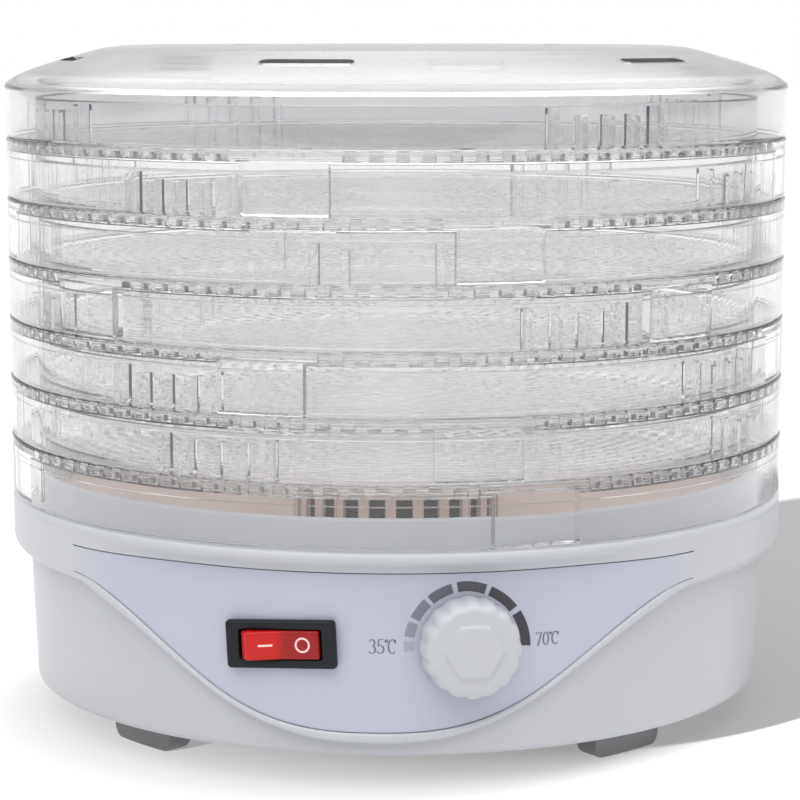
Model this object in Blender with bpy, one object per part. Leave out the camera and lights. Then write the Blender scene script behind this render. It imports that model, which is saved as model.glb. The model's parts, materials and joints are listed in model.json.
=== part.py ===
"""Round worktop food dehydrator: a heated fan base, six nesting clear trays and a vented lid.

The origin is under the middle of the base, on the surface that the feet stand on. +Z is up and
the controls face -Y. Lengths below are in millimetres and angles in degrees; every mesh is
turned into metres when its object is made. Pieces that touch keep a gap of GAP.
"""

import math

import bmesh
import bpy
from mathutils import Matrix, Vector
from mathutils.geometry import tessellate_polygon

MM = 0.001
GAP = 0.3
PLATE_STEP = 4.0

# Overall size
OUTER_R = 122.5
BIG_SEGMENTS = 32
SMALL_SEGMENTS = 16

# Base housing
BASE_BOTTOM_Z = 9.6
BASE_BOTTOM_R = 115.5
BODY_TOP_R = 117.1
BAND_BOTTOM_Z = 51.0
BAND_ROUND = 5.2
SHOULDER_Z = 69.6
COLLAR_R = 115.8
COLLAR_INNER_R = 113.4
COLLAR_TOP_Z = 77.8
WALL = 2.2
COVER_LEDGE_Z = 12.7
DECK_LEDGE_Z = 63.2

# Raised control shield on the front of the housing, and the label let into it
SHIELD_R = 119.0
SHIELD_BACK_R = 113.8
SHIELD_LOW_Z = 13.7
SHIELD_HALF_ANGLE = 49.2
SHIELD_RISE = 37.7
SHIELD_POWER = 1.25
LABEL_LOW_Z = 17.3
LABEL_TOP_Z = 62.6
LABEL_HALF_ANGLE = 48.0
LABEL_POWER = 1.38
LABEL_THICK = 0.5
SKIN_R = 118.2
POCKET_R = SKIN_R - LABEL_THICK - GAP

# Controls
SWITCH_ANGLE = -12.7
SWITCH_Z = 42.0
SWITCH_BEZEL = (31.5, 14.2, 1.9)
SWITCH_BODY = (27.0, 12.0, 24.0)
SWITCH_MOUTH = (24.4, 8.7, 5.0)
ROCKER_HALF_LENGTH = 11.4
ROCKER_WIDTH = 8.2
ROCKER_TILT = 8.0
KNOB_ANGLE = 12.7
KNOB_Z = 42.5
KNOB_R = 14.0
KNOB_HEIGHT = 11.7
KNOB_LOBES = 16
BUSH_R = 3.4
SHAFT_BORE_R = 2.3
THERMOSTAT_DEPTH = 26.0
TERMINAL_LENGTH = 7.3

# Trays and lid
TRAY_COUNT = 6
LOWEST_FLOOR_Z = 88.0
TRAY_PITCH = 18.4
TRAY_WALL_R = 113.3
TRAY_RIM_Z = 12.2
TRAY_SKIN = 1.5
LEDGE_THICK = 3.3
FLOOR_TOP = -0.5
FLOOR_THICK = 1.8
FLOOR_LIP_R = 110.0
RIB_PITCH_ANGLE = 4.3
RIB_OUTER_R = 118.0
RIB_WIDTH = 2.2
SHORT_RIB_Z = 9.3
PAD_INNER_R = 117.0
PAD_ANGLE = 12.0
# Turn of each tray about the stack's axis, lowest tray first
TRAY_TURNS = (67.0, 59.0, 29.8, 0.4, 61.8, 33.3)
LID_EDGE_Z = 196.8
LID_TOP_Z = 208.0
LID_SKIN = 1.6
LID_VENT_R = 103.5
LID_VENT_TURN = -11.0

# Inside the base
COVER_R = 112.6
COVER_Z = (10.2, 12.4)
FOOT_RING_R = 99.0
FOOT_SIZE = (26.0, 9.0)
BOSS_RING_R = 78.0
DECK_Z = 52.0
DECK_THICK = 2.0
THROAT_R = 30.0
CAGE_R = 33.0
CAGE_TOP_Z = 73.3
CAGE_SLOTS = 24
CAGE_SLOT_Z = (56.0, 69.5)
CAGE_SLOT_WIDTH = 5.2
STATOR_Z = (22.0, 32.0)
ROTOR_R = 11.2
SHAFT_R = 1.5
MOTOR_SCREW_X = 19.0
FAN_R = 27.0
FAN_Z = (41.0, 49.7)
FAN_BLADES = 7
HEATER_Z = (55.5, 66.0)
GLAND_Z = 28.0
GLAND_R = 4.7

CORNERS = (("front_left", -45.0), ("front_right", 45.0), ("rear_right", 135.0), ("rear_left", 225.0))


# ---------------------------------------------------------------- materials


def principled(name, rgb, roughness, metallic=0.0, transmission=0.0):
    material = bpy.data.materials.new(name)
    material.use_nodes = True
    shader = material.node_tree.nodes["Principled BSDF"]
    shader.inputs["Base Color"].default_value = (*rgb, 1.0)
    shader.inputs["Roughness"].default_value = roughness
    shader.inputs["Metallic"].default_value = metallic
    shader.inputs["Transmission Weight"].default_value = transmission
    return material


def make_materials():
    return {
        "white_plastic": principled("white_plastic", (0.72, 0.74, 0.77), 0.35),
        "clear_plastic": principled("clear_plastic", (0.86, 0.87, 0.88), 0.12, 0.0, 0.8),
        "taupe_plastic": principled("taupe_plastic", (0.36, 0.33, 0.30), 0.5),
        "grey_plastic": principled("grey_plastic", (0.34, 0.35, 0.36), 0.5),
        "black_plastic": principled("black_plastic", (0.025, 0.028, 0.032), 0.4),
        "label_film": principled("label_film", (0.55, 0.56, 0.69), 0.35),
        "red_lens": principled("red_lens", (0.60, 0.02, 0.015), 0.15),
        "foot_plastic": principled("foot_plastic", (0.33, 0.35, 0.36), 0.55),
        "steel": principled("steel", (0.55, 0.55, 0.56), 0.35, 1.0),
        "lamination": principled("lamination", (0.28, 0.28, 0.30), 0.5, 1.0),
        "brass": principled("brass", (0.72, 0.55, 0.25), 0.35, 1.0),
        "copper": principled("copper", (0.70, 0.32, 0.16), 0.35, 1.0),
        "mica": principled("mica", (0.55, 0.47, 0.34), 0.6),
        "nichrome": principled("nichrome", (0.32, 0.30, 0.28), 0.4, 1.0),
        "ceramic": principled("ceramic", (0.80, 0.78, 0.72), 0.5),
        "lead_sleeve": principled("lead_sleeve", (0.65, 0.63, 0.60), 0.55),
    }


# ------------------------------------------------------------ shape helpers


def to_mesh(name, points, faces):
    """A closed mesh in metres from points in millimetres, with its faces turned outwards."""
    mesh = bpy.data.meshes.new(name)
    mesh.from_pydata([Vector(p) * MM for p in points], [], faces)
    shape = bmesh.new()
    shape.from_mesh(mesh)
    bmesh.ops.recalc_face_normals(shape, faces=shape.faces)
    shape.to_mesh(mesh)
    shape.free()
    return mesh


def turned(name, profile, segments=BIG_SEGMENTS):
    """A closed loop of (radius, height) points turned about Z. A radius of 0 is a point on the axis."""
    points = []
    rings = []
    for radius, height in profile:
        if radius == 0:
            rings.append([len(points)] * segments)
            points.append((0, 0, height))
            continue
        rings.append(list(range(len(points), len(points) + segments)))
        for k in range(segments):
            angle = 2 * math.pi * k / segments
            points.append((radius * math.cos(angle), radius * math.sin(angle), height))
    faces = []
    for first, second in zip(rings, rings[1:] + rings[:1]):
        for k in range(segments):
            n = (k + 1) % segments
            corners = dict.fromkeys((first[k], first[n], second[n], second[k]))
            if len(corners) > 2:
                faces.append(list(corners))
    return to_mesh(name, points, faces)


def prism(name, outline, low, high, holes=()):
    """A flat outline with holes, from height low to height high."""
    loops = [outline, *holes]
    flat = [point for loop in loops for point in loop]
    count = len(flat)
    points = [(x, y, low) for x, y in flat] + [(x, y, high) for x, y in flat]
    # The fill sorts points by Y, so it works on a turned copy in which no two share a Y.
    turned_copy = [[Vector((x + 0.37 * y, y - 0.37 * x, 0)) for x, y in loop] for loop in loops]
    caps = tessellate_polygon(turned_copy)
    faces = [tuple(face) for face in caps] + [tuple(i + count for i in face) for face in caps]
    start = 0
    for loop in loops:
        for k in range(len(loop)):
            a, b = start + k, start + (k + 1) % len(loop)
            faces.append((a, b, b + count, a + count))
        start += len(loop)
    return to_mesh(name, points, faces)


def lofted(name, outline, layers):
    """An outline scaled in X and Y at each (x scale, y scale, height) of the layers, lowest first."""
    count = len(outline)
    points = [(x * sx, y * sy, z) for sx, sy, z in layers for x, y in outline]
    faces = [tuple(range(count)), tuple(range(len(points) - count, len(points)))]
    for start in range(0, len(points) - count, count):
        for k in range(count):
            a, b = start + k, start + (k + 1) % count
            faces.append((a, b, b + count, a + count))
    return to_mesh(name, points, faces)


def curved_plate(name, outline, inner_r, outer_r, step=PLATE_STEP):
    """An outline of (angle, height) points wrapped round Z as a plate. Angle 0 is the front."""
    shape = bmesh.new()
    shape.faces.new([shape.verts.new((angle, 0, height)) for angle, height in outline])
    lowest = min(angle for angle, _ in outline)
    highest = max(angle for angle, _ in outline)
    for k in range(math.ceil(lowest / step), math.floor(highest / step) + 1):
        everything = shape.verts[:] + shape.edges[:] + shape.faces[:]
        bmesh.ops.bisect_plane(shape, geom=everything, plane_co=(k * step, 0, 0), plane_no=(1, 0, 0))
    bmesh.ops.triangulate(shape, faces=shape.faces)
    shape.verts.index_update()
    flat = [vert.co.copy() for vert in shape.verts]
    count = len(flat)
    points = [on_cylinder(inner_r, co.x, co.z) for co in flat]
    points += [on_cylinder(outer_r, co.x, co.z) for co in flat]
    faces = []
    for face in shape.faces:
        corners = [vert.index for vert in face.verts]
        faces += [corners[::-1], [i + count for i in corners]]
    for edge in shape.edges:
        if len(edge.link_faces) == 1:
            a, b = (vert.index for vert in edge.verts)
            faces.append((a, b, b + count, a + count))
    shape.free()
    return to_mesh(name, points, faces)


def on_cylinder(radius, angle, height):
    """The point at an angle from the front, counted towards +X."""
    turn = math.radians(angle)
    return (radius * math.sin(turn), -radius * math.cos(turn), height)


def circle(radius, segments=SMALL_SEGMENTS, centre=(0, 0)):
    turns = [2 * math.pi * k / segments for k in range(segments)]
    return [(centre[0] + radius * math.cos(t), centre[1] + radius * math.sin(t)) for t in turns]


def rectangle(width, depth, centre=(0, 0)):
    x, y = centre
    w, d = width / 2, depth / 2
    return [(x - w, y - d), (x + w, y - d), (x + w, y + d), (x - w, y + d)]


def rounded_rectangle(width, depth, radius, steps=3):
    points = []
    for quarter, (sx, sy) in enumerate(((1, 1), (-1, 1), (-1, -1), (1, -1))):
        centre = (sx * (width / 2 - radius), sy * (depth / 2 - radius))
        for k in range(steps + 1):
            turn = math.radians(90 * quarter + 90 * k / steps)
            points.append((centre[0] + radius * math.cos(turn), centre[1] + radius * math.sin(turn)))
    return points


def box(name, low, high):
    outline = [(low[0], low[1]), (high[0], low[1]), (high[0], high[1]), (low[0], high[1])]
    return prism(name, outline, low[2], high[2])


def arc_slot(radius, width, middle, sweep, steps=2):
    """The outline of a slot along a circle about Z."""
    angles = [math.radians(middle - sweep / 2 + sweep * k / steps) for k in range(steps + 1)]
    outer = [((radius + width / 2) * math.cos(a), (radius + width / 2) * math.sin(a)) for a in angles]
    inner = [((radius - width / 2) * math.cos(a), (radius - width / 2) * math.sin(a)) for a in angles]
    return outer + inner[::-1]


def merged(name, meshes):
    """Several closed shapes in one mesh, for one Boolean to add or take away together."""
    shape = bmesh.new()
    for mesh in meshes:
        shape.from_mesh(mesh)
    result = bpy.data.meshes.new(name)
    shape.to_mesh(result)
    shape.free()
    return result


def moved(mesh, matrix):
    """The mesh after a move given in millimetres."""
    offset = matrix.to_translation()
    scaled = matrix.copy()
    scaled.translation = offset * MM
    mesh.transform(scaled)
    return mesh


# ----------------------------------------------------------- object helpers


def place(name, mesh, material=None, parent=None, sharp=35.0):
    """An object for one sub-part, shaded smooth but for its real edges."""
    thing = bpy.data.objects.new(name, mesh)
    bpy.context.scene.collection.objects.link(thing)
    if material:
        mesh.materials.clear()
        mesh.materials.append(material)
        mesh.shade_smooth()
        mesh.set_sharp_from_angle(angle=math.radians(sharp))
    thing.parent = parent
    return thing


def helper(mesh, parent=None):
    """A hidden object that a Boolean reads."""
    thing = place("tool_" + mesh.name, mesh, parent=parent)
    thing.hide_render = True
    thing.display_type = "WIRE"
    return thing


def combine(target, tool, operation):
    boolean = target.modifiers.new(operation.lower() + "_" + tool.name, "BOOLEAN")
    boolean.operation = operation
    boolean.object = tool
    boolean.solver = "EXACT"


def baked(pattern):
    """The mesh of an object with its Booleans done; the object and its tools are removed."""
    graph = bpy.context.evaluated_depsgraph_get()
    mesh = bpy.data.meshes.new_from_object(pattern.evaluated_get(graph))
    for tool in [modifier.object for modifier in pattern.modifiers]:
        bpy.data.objects.remove(tool)
    bpy.data.objects.remove(pattern)
    return mesh


def add(target, mesh, parent=None):
    combine(target, helper(mesh, parent), "UNION")


def cut(target, mesh, parent=None):
    combine(target, helper(mesh, parent), "DIFFERENCE")


def panel_frame(name, angle, height):
    """An empty on the label's face: X to the right, Y up and Z straight out of the panel."""
    frame = bpy.data.objects.new(name, None)
    bpy.context.scene.collection.objects.link(frame)
    turn = math.radians(angle)
    right = Vector((math.cos(turn), math.sin(turn), 0))
    out = Vector((math.sin(turn), -math.cos(turn), 0))
    axes = Matrix((right, (0, 0, 1), out)).transposed().to_4x4()
    axes.translation = Vector(on_cylinder(SKIN_R, angle, height)) * MM
    frame.matrix_world = axes
    return frame


# ------------------------------------------------------------------ housing


def wave(angle, low, half_angle, power):
    """Height of the shield's S-shaped lower edge: lowest at the front, level with the band outside."""
    share = min(abs(angle) / half_angle, 1.0) ** power
    return low + SHIELD_RISE * (1 - math.cos(math.pi * share)) / 2


def wave_outline(low, half_angle, power, top):
    """The shield's or label's outline: the S-shaped lower edge, closed by upright ends and a level top."""
    count = math.ceil(half_angle / PLATE_STEP) - 1
    angles = [-half_angle, *(PLATE_STEP * k for k in range(-count, count + 1)), half_angle]
    return [(a, wave(a, low, half_angle, power)) for a in angles] + [(half_angle, top), (-half_angle, top)]


def housing_profile():
    band = [
        (BODY_TOP_R + BAND_ROUND * math.sin(a), BAND_BOTTOM_Z + BAND_ROUND * (1 - math.cos(a)))
        for a in (0, math.radians(30), math.radians(60), math.radians(90))
    ]
    outside = [(BASE_BOTTOM_R, BASE_BOTTOM_Z), *band]
    outside += [(OUTER_R, SHOULDER_Z - 1.2), (OUTER_R - 1.2, SHOULDER_Z), (COLLAR_R, SHOULDER_Z)]
    collar = [(COLLAR_R, COLLAR_TOP_Z - 1), (COLLAR_R - 1, COLLAR_TOP_Z), (COLLAR_INNER_R, COLLAR_TOP_Z)]
    ledge = [
        (COLLAR_INNER_R, DECK_LEDGE_Z),
        (COLLAR_INNER_R - 6, DECK_LEDGE_Z),
        (COLLAR_INNER_R - 6, DECK_LEDGE_Z - 2.7),
        (COLLAR_R, DECK_LEDGE_Z - 2.7),
        (COLLAR_R, SHOULDER_Z - WALL),
    ]
    inner_r = BASE_BOTTOM_R - WALL
    inside = [
        (OUTER_R - WALL, SHOULDER_Z - WALL),
        (OUTER_R - WALL, BAND_BOTTOM_Z + BAND_ROUND),
        (BODY_TOP_R - WALL, BAND_BOTTOM_Z),
        (inner_r, COVER_LEDGE_Z + 2),
        (inner_r - 2.8, COVER_LEDGE_Z + 2),
        (inner_r - 2.8, COVER_LEDGE_Z),
        (inner_r, COVER_LEDGE_Z),
        (inner_r, BASE_BOTTOM_Z),
    ]
    return outside + collar + ledge + inside


def make_housing(paint, switch_frame, knob_frame):
    housing = place("base_housing", turned("base_housing", housing_profile()), paint["white_plastic"])
    outline = wave_outline(SHIELD_LOW_Z, SHIELD_HALF_ANGLE, SHIELD_POWER, LABEL_TOP_Z - 4)
    add(housing, curved_plate("shield", outline, SHIELD_BACK_R, SHIELD_R))
    width = LABEL_HALF_ANGLE + 3
    backing = [(-width, 54), (width, 54), (width, SHOULDER_Z - WALL + 1), (-width, SHOULDER_Z - WALL + 1)]
    add(housing, curved_plate("shield_backing", backing, SHIELD_BACK_R, OUTER_R - 1.5))
    pocket = wave_outline(LABEL_LOW_Z - 0.4, LABEL_HALF_ANGLE + 0.2, LABEL_POWER, LABEL_TOP_Z + 0.4)
    cut(housing, curved_plate("label_pocket", pocket, POCKET_R, OUTER_R + 4))
    through_panel(housing, switch_frame, knob_frame)
    cut(housing, moved(prism("gland_hole", circle(GLAND_R + GAP), 100, 130), out_of_rear()))
    label_outline = wave_outline(LABEL_LOW_Z, LABEL_HALF_ANGLE, LABEL_POWER, LABEL_TOP_Z)
    label_mesh = curved_plate("control_label", label_outline, SKIN_R - LABEL_THICK, SKIN_R)
    label = place("control_label", label_mesh, paint["label_film"])
    through_panel(label, switch_frame, knob_frame)


def out_of_rear():
    """The move that lays a shape made along Z along +Y, at the height of the cord's gland."""
    return Matrix.Translation((0, 0, GLAND_Z)) @ Matrix.Rotation(math.radians(-90), 4, "X")


def through_panel(target, switch_frame, knob_frame):
    """Cuts the switch's window and the thermostat's hole."""
    width, height = SWITCH_BODY[0] + 2 * GAP, SWITCH_BODY[1] + 2 * GAP
    cut(target, prism("switch_window", rectangle(width, height), -12, 8), switch_frame)
    cut(target, prism("bush_hole", circle(BUSH_R + 0.4), -12, 8), knob_frame)


# ----------------------------------------------------------------- controls


def make_switch(paint, frame):
    bezel_w, bezel_h, bezel_t = SWITCH_BEZEL
    body_w, body_h, body_d = SWITCH_BODY
    case_mesh = prism("switch_case", rounded_rectangle(bezel_w, bezel_h, 0.8, 2), GAP, GAP + bezel_t)
    case = place("switch_case", case_mesh, paint["black_plastic"], frame)
    add(case, prism("switch_barrel", rectangle(body_w, body_h), -body_d, GAP + 0.6), frame)
    mouth = rectangle(SWITCH_MOUTH[0], SWITCH_MOUTH[1])
    cut(case, prism("switch_mouth", mouth, -SWITCH_MOUTH[2], GAP + bezel_t + 2), frame)
    for side, x in (("live", -7.0), ("load", 7.0)):
        low, high = (x - 0.4, -3.1, -body_d - TERMINAL_LENGTH), (x + 0.4, 3.1, -body_d - GAP)
        place("switch_terminal_" + side, box("switch_terminal", low, high), paint["brass"], frame)
    make_rocker(paint, frame)


def make_rocker(paint, frame):
    """A shallow V seen from above, tipped with its right-hand end pressed in. It tips about its origin."""
    half = ROCKER_HALF_LENGTH
    outline = [(-half, 3.6), (-half, 1.0), (-8.6, -3.0), (8.6, -3.0), (half, 1.0), (half, 3.6), (0, 2.2)]
    mesh = prism("switch_rocker", outline, -ROCKER_WIDTH / 2, ROCKER_WIDTH / 2)
    mesh.transform(Matrix.Rotation(math.radians(90), 4, "X"))
    mesh.transform(Matrix.Rotation(math.radians(ROCKER_TILT), 4, "Y"))
    rocker = place("switch_rocker", mesh, paint["red_lens"], frame)
    rocker.location = Vector((0, 0, GAP + SWITCH_BEZEL[2] - 1.6)) * MM


def make_thermostat(paint, frame):
    can = [(0, -THERMOSTAT_DEPTH), (12, -THERMOSTAT_DEPTH), (12, -5.4), (BUSH_R, -5.4), (BUSH_R, 2.8)]
    bore = [(SHAFT_BORE_R, 2.8), (SHAFT_BORE_R, -12), (0, -12)]
    body = turned("thermostat_body", can + bore, SMALL_SEGMENTS)
    place("thermostat_body", body, paint["black_plastic"], frame)
    for side, x in (("in", -6.0), ("out", 6.0)):
        low = (x - 2.4, -0.4, -THERMOSTAT_DEPTH - TERMINAL_LENGTH)
        high = (x + 2.4, 0.4, -THERMOSTAT_DEPTH - GAP)
        place("thermostat_terminal_" + side, box("thermostat_terminal", low, high), paint["brass"], frame)
    nut = prism("thermostat_nut", circle(6.2, 6), GAP, 2.4, [circle(BUSH_R + GAP)])
    place("thermostat_nut", nut, paint["brass"], frame)
    shaft = prism("thermostat_shaft", circle(SHAFT_BORE_R - GAP), -12 + GAP, 9.0)
    place("thermostat_shaft", shaft, paint["steel"], frame)
    make_knob(paint, frame)


def make_knob(paint, frame):
    steps = KNOB_LOBES * 4
    outline = []
    for k in range(steps):
        turn = 2 * math.pi * k / steps
        radius = KNOB_R - 0.7 * (1 - math.cos(KNOB_LOBES * turn)) / 2
        outline.append((radius * math.cos(turn), radius * math.sin(turn)))
    mesh = prism("control_knob", outline, 0.8, KNOB_HEIGHT - 1.2)
    knob = place("control_knob", mesh, paint["white_plastic"], frame)
    add(knob, prism("knob_boss", circle(8.4, 6), 6.0, KNOB_HEIGHT), frame)
    profile = [(0, 0), (8, 0), (8, 4.4), (SHAFT_BORE_R, 4.4), (SHAFT_BORE_R, 9.3), (0, 9.3)]
    cut(knob, turned("knob_hollow", profile, SMALL_SEGMENTS), frame)


# ------------------------------------------------------------ trays and lid


def tray_profile():
    skirt_bottom = GAP - TRAY_PITCH
    return [
        (OUTER_R - TRAY_SKIN, -LEDGE_THICK),
        (OUTER_R - TRAY_SKIN, skirt_bottom),
        (OUTER_R, skirt_bottom),
        (OUTER_R, 0),
        (TRAY_WALL_R, 0),
        (TRAY_WALL_R, TRAY_RIM_Z),
        (TRAY_WALL_R - TRAY_SKIN, TRAY_RIM_Z),
        (TRAY_WALL_R - TRAY_SKIN, FLOOR_TOP - FLOOR_THICK - GAP),
        (FLOOR_LIP_R, FLOOR_TOP - FLOOR_THICK - GAP),
        (FLOOR_LIP_R, -LEDGE_THICK),
    ]


def tray_ribs():
    """Four groups of five upright ribs outside the tray's wall; the end ribs are the tall ones."""
    ribs = []
    for quarter in range(4):
        for k in range(-2, 3):
            top = TRAY_RIM_Z - 0.2 if abs(k) == 2 else SHORT_RIB_Z
            low = (TRAY_WALL_R - 0.8, -RIB_WIDTH / 2, -0.8)
            rib = box("rib", low, (RIB_OUTER_R, RIB_WIDTH / 2, top))
            angle = math.radians(90 * quarter - 90 + RIB_PITCH_ANGLE * k)
            ribs.append(moved(rib, Matrix.Rotation(angle, 4, "Z")))
    return merged("ribs", ribs)


def tray_pads():
    """Four thick pads inside the skirt, half-way between the rib groups."""
    half = PAD_ANGLE / 2
    low, high = GAP - TRAY_PITCH + 0.4, -LEDGE_THICK + 0.8
    pads = []
    for quarter in range(4):
        middle = 45 + 90 * quarter
        outline = [(middle - half, low), (middle + half, low), (middle + half, high), (middle - half, high)]
        pads.append(curved_plate("pad", outline, PAD_INNER_R, OUTER_R - 0.7, step=PAD_ANGLE))
    return merged("pads", pads)


def tray_floor():
    """A disc with two rings of large windows, which stand for its fine mesh."""
    windows = []
    for radius, width, count, steps in ((46, 34, 8, 2), (88, 34, 12, 1)):
        sweep = 360 / count - math.degrees(7 / radius)
        windows += [arc_slot(radius, width, 360 * k / count, sweep, steps) for k in range(count)]
    edge = circle(TRAY_WALL_R - TRAY_SKIN - GAP, BIG_SEGMENTS)
    return prism("tray_floor", edge, FLOOR_TOP - FLOOR_THICK, FLOOR_TOP, windows)


def tray_ring():
    pattern = place("tray_pattern", turned("tray", tray_profile()))
    for mesh in (tray_ribs(), tray_pads()):
        add(pattern, mesh)
    return baked(pattern)


def make_trays(paint):
    ring, floor = tray_ring(), tray_floor()
    for level, turn in enumerate(TRAY_TURNS):
        number = TRAY_COUNT - level
        for name, mesh in ((f"tray_{number}", ring), (f"tray_{number}_floor", floor)):
            piece = place(name, mesh, paint["clear_plastic"])
            piece.location.z = (LOWEST_FLOOR_Z + TRAY_PITCH * level) * MM
            piece.rotation_euler.z = math.radians(turn)


def make_lid(paint):
    bottom = LOWEST_FLOOR_Z + (TRAY_COUNT - 1) * TRAY_PITCH + GAP
    skirt = [(OUTER_R, bottom), (OUTER_R, LID_EDGE_Z - 1), (OUTER_R - 1, LID_EDGE_Z)]
    dome = [(116, 200), (102, 204.3), (94, 206.6), (84, LID_TOP_Z)]
    inner_dome = [(r - 0.5, z - LID_SKIN) for r, z in reversed(dome)]
    inner_skirt = [(OUTER_R - TRAY_SKIN, LID_EDGE_Z - LID_SKIN), (OUTER_R - TRAY_SKIN, bottom)]
    middle = [(0, LID_TOP_Z), (0, LID_TOP_Z - LID_SKIN)]
    profile = skirt + dome + middle + inner_dome + inner_skirt
    lid = place("lid", turned("lid", profile), paint["clear_plastic"])
    vents = []
    for k in range(6):
        for radius, width, sweep, turn in ((LID_VENT_R, 4.0, 15, 0), (50, 3.5, 26, 30)):
            middle = LID_VENT_TURN - 90 + turn + 60 * k
            vents.append(prism("vent", arc_slot(radius, width, middle, sweep, 1), 190, 215))
    cut(lid, merged("lid_vents", vents))


# ---------------------------------------------------------- inside the base


def make_bottom_cover(paint):
    low, high = COVER_Z
    holes = [arc_slot(50, 26, 22.5 + 30 * k, 6.5, 1) for k in range(12)]
    for _, angle in CORNERS:
        holes.append(circle(2.4, 10, on_cylinder(BOSS_RING_R, angle, 0)[:2]))
        holes.append(circle(2.8, 10, on_cylinder(FOOT_RING_R, angle, 0)[:2]))
    plate = prism("bottom_cover", circle(COVER_R, BIG_SEGMENTS), low, high, holes)
    cover = place("bottom_cover", plate, paint["grey_plastic"])
    posts = [prism("post", circle(3.4, 10, (x, 0)), low + 0.8, 17.7) for x in (-MOTOR_SCREW_X, MOTOR_SCREW_X)]
    add(cover, merged("motor_posts", posts))
    bores = [prism("bore", circle(1.6, 8, (x, 0)), high + 0.6, 20) for x in (-MOTOR_SCREW_X, MOTOR_SCREW_X)]
    cut(cover, merged("post_bores", bores))


def make_feet_and_screws(paint):
    foot_outline = rounded_rectangle(*FOOT_SIZE, 3.0)
    foot_mesh = foot_with_peg(foot_outline)
    under_cover = COVER_Z[0] - GAP
    shank = [(0, 22), (1.9, 22), (1.9, under_cover)]
    head = [(3.6, under_cover), (3.6, 8.4), (2.8, 7.9), (0, 7.9)]
    screw_mesh = turned("cover_screw", shank + head, 12)
    for name, angle in CORNERS:
        for kind, mesh, radius, finish in (
            ("foot_", foot_mesh, FOOT_RING_R, "foot_plastic"),
            ("cover_screw_", screw_mesh, BOSS_RING_R, "steel"),
        ):
            piece = place(kind + name, mesh, paint[finish])
            piece.location = Vector(on_cylinder(radius, angle, 0)) * MM
            piece.rotation_euler.z = math.radians(angle)


def foot_with_peg(outline):
    """A block with a bevelled sole and a round peg that goes up through the bottom cover."""
    layers = ((0.9, 0.8, 0.0), (1.0, 1.0, 1.4), (1.0, 1.0, COVER_Z[0] - GAP))
    pattern = place("foot_pattern", lofted("foot_block", outline, layers))
    add(pattern, prism("peg", circle(2.5, 10), 6, 14.5))
    return baked(pattern)


def make_deck(paint):
    rim_r = COLLAR_INNER_R - 0.4
    rim_z = DECK_LEDGE_Z + GAP
    top = [(rim_r, rim_z + DECK_THICK), (106.5, rim_z + DECK_THICK), (36.5, DECK_Z), (THROAT_R, DECK_Z)]
    throat = [(THROAT_R, 40.5), (THROAT_R + 1.6, 40.5), (THROAT_R + 1.6, DECK_Z - DECK_THICK)]
    under = [(36.5, DECK_Z - DECK_THICK), (105.5, rim_z), (rim_r, rim_z)]
    deck = place("air_deck", turned("air_deck", top + throat + under), paint["taupe_plastic"])
    posts = []
    bores = []
    for _, angle in CORNERS:
        centre = on_cylinder(BOSS_RING_R, angle, 0)[:2]
        posts.append(prism("post", circle(4.4, 12, centre), COVER_Z[1] + GAP, DECK_Z + 7.2))
        bores.append(prism("bore", circle(2.2, 10, centre), 0, 24))
    add(deck, merged("deck_bosses", posts))
    cut(deck, merged("deck_boss_bores", bores))


def make_cage(paint):
    low = DECK_Z + GAP
    wall = 1.8
    flange = [(CAGE_R + 4, low), (CAGE_R + 4, low + 1.6), (CAGE_R, low + 1.6)]
    cap = [(CAGE_R, CAGE_TOP_Z - 1.5), (CAGE_R - 1.5, CAGE_TOP_Z), (0, CAGE_TOP_Z)]
    inside = [(0, CAGE_TOP_Z - wall), (CAGE_R - wall, CAGE_TOP_Z - wall), (CAGE_R - wall, low)]
    cage = place("vent_cage", turned("vent_cage", flange + cap + inside, CAGE_SLOTS), paint["taupe_plastic"])
    slots = []
    for k in range(CAGE_SLOTS):
        half = CAGE_SLOT_WIDTH / 2
        slot = box("slot", (CAGE_R - 4, -half, CAGE_SLOT_Z[0]), (CAGE_R + 3, half, CAGE_SLOT_Z[1]))
        slots.append(moved(slot, Matrix.Rotation(2 * math.pi * (k + 0.5) / CAGE_SLOTS, 4, "Z")))
    cut(cage, merged("cage_slots", slots))


def make_heater(paint):
    ring = [(28.6, DECK_Z + GAP), (THROAT_R + 0.9, DECK_Z + GAP), (THROAT_R + 0.9, 56.0), (28.6, 56.0)]
    frame = place("heater_frame", turned("heater_frame", ring, 24), paint["mica"])
    for turn in (0, 90):
        card = box("mica_card", (-29.2, -0.5, HEATER_Z[0]), (29.2, 0.5, HEATER_Z[1]))
        add(frame, moved(card, Matrix.Rotation(math.radians(turn), 4, "Z")))
    turns, first_r, last_r, coil_r = 1.75, 9.0, 25.0, 1.5
    count = 26
    path = []
    for k in range(count):
        share = k / (count - 1)
        radius = first_r + (last_r - first_r) * share
        angle = 2 * math.pi * turns * share
        path.append((radius * math.cos(angle), radius * math.sin(angle), HEATER_Z[1] + coil_r + 0.6))
    tube("heater_coil", path, coil_r, paint["nichrome"])
    fuse = prism("thermal_fuse", circle(1.5, 10, (18.4, 18.4)), 56.0 + GAP, 66.0)
    place("thermal_fuse", fuse, paint["ceramic"])


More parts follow.
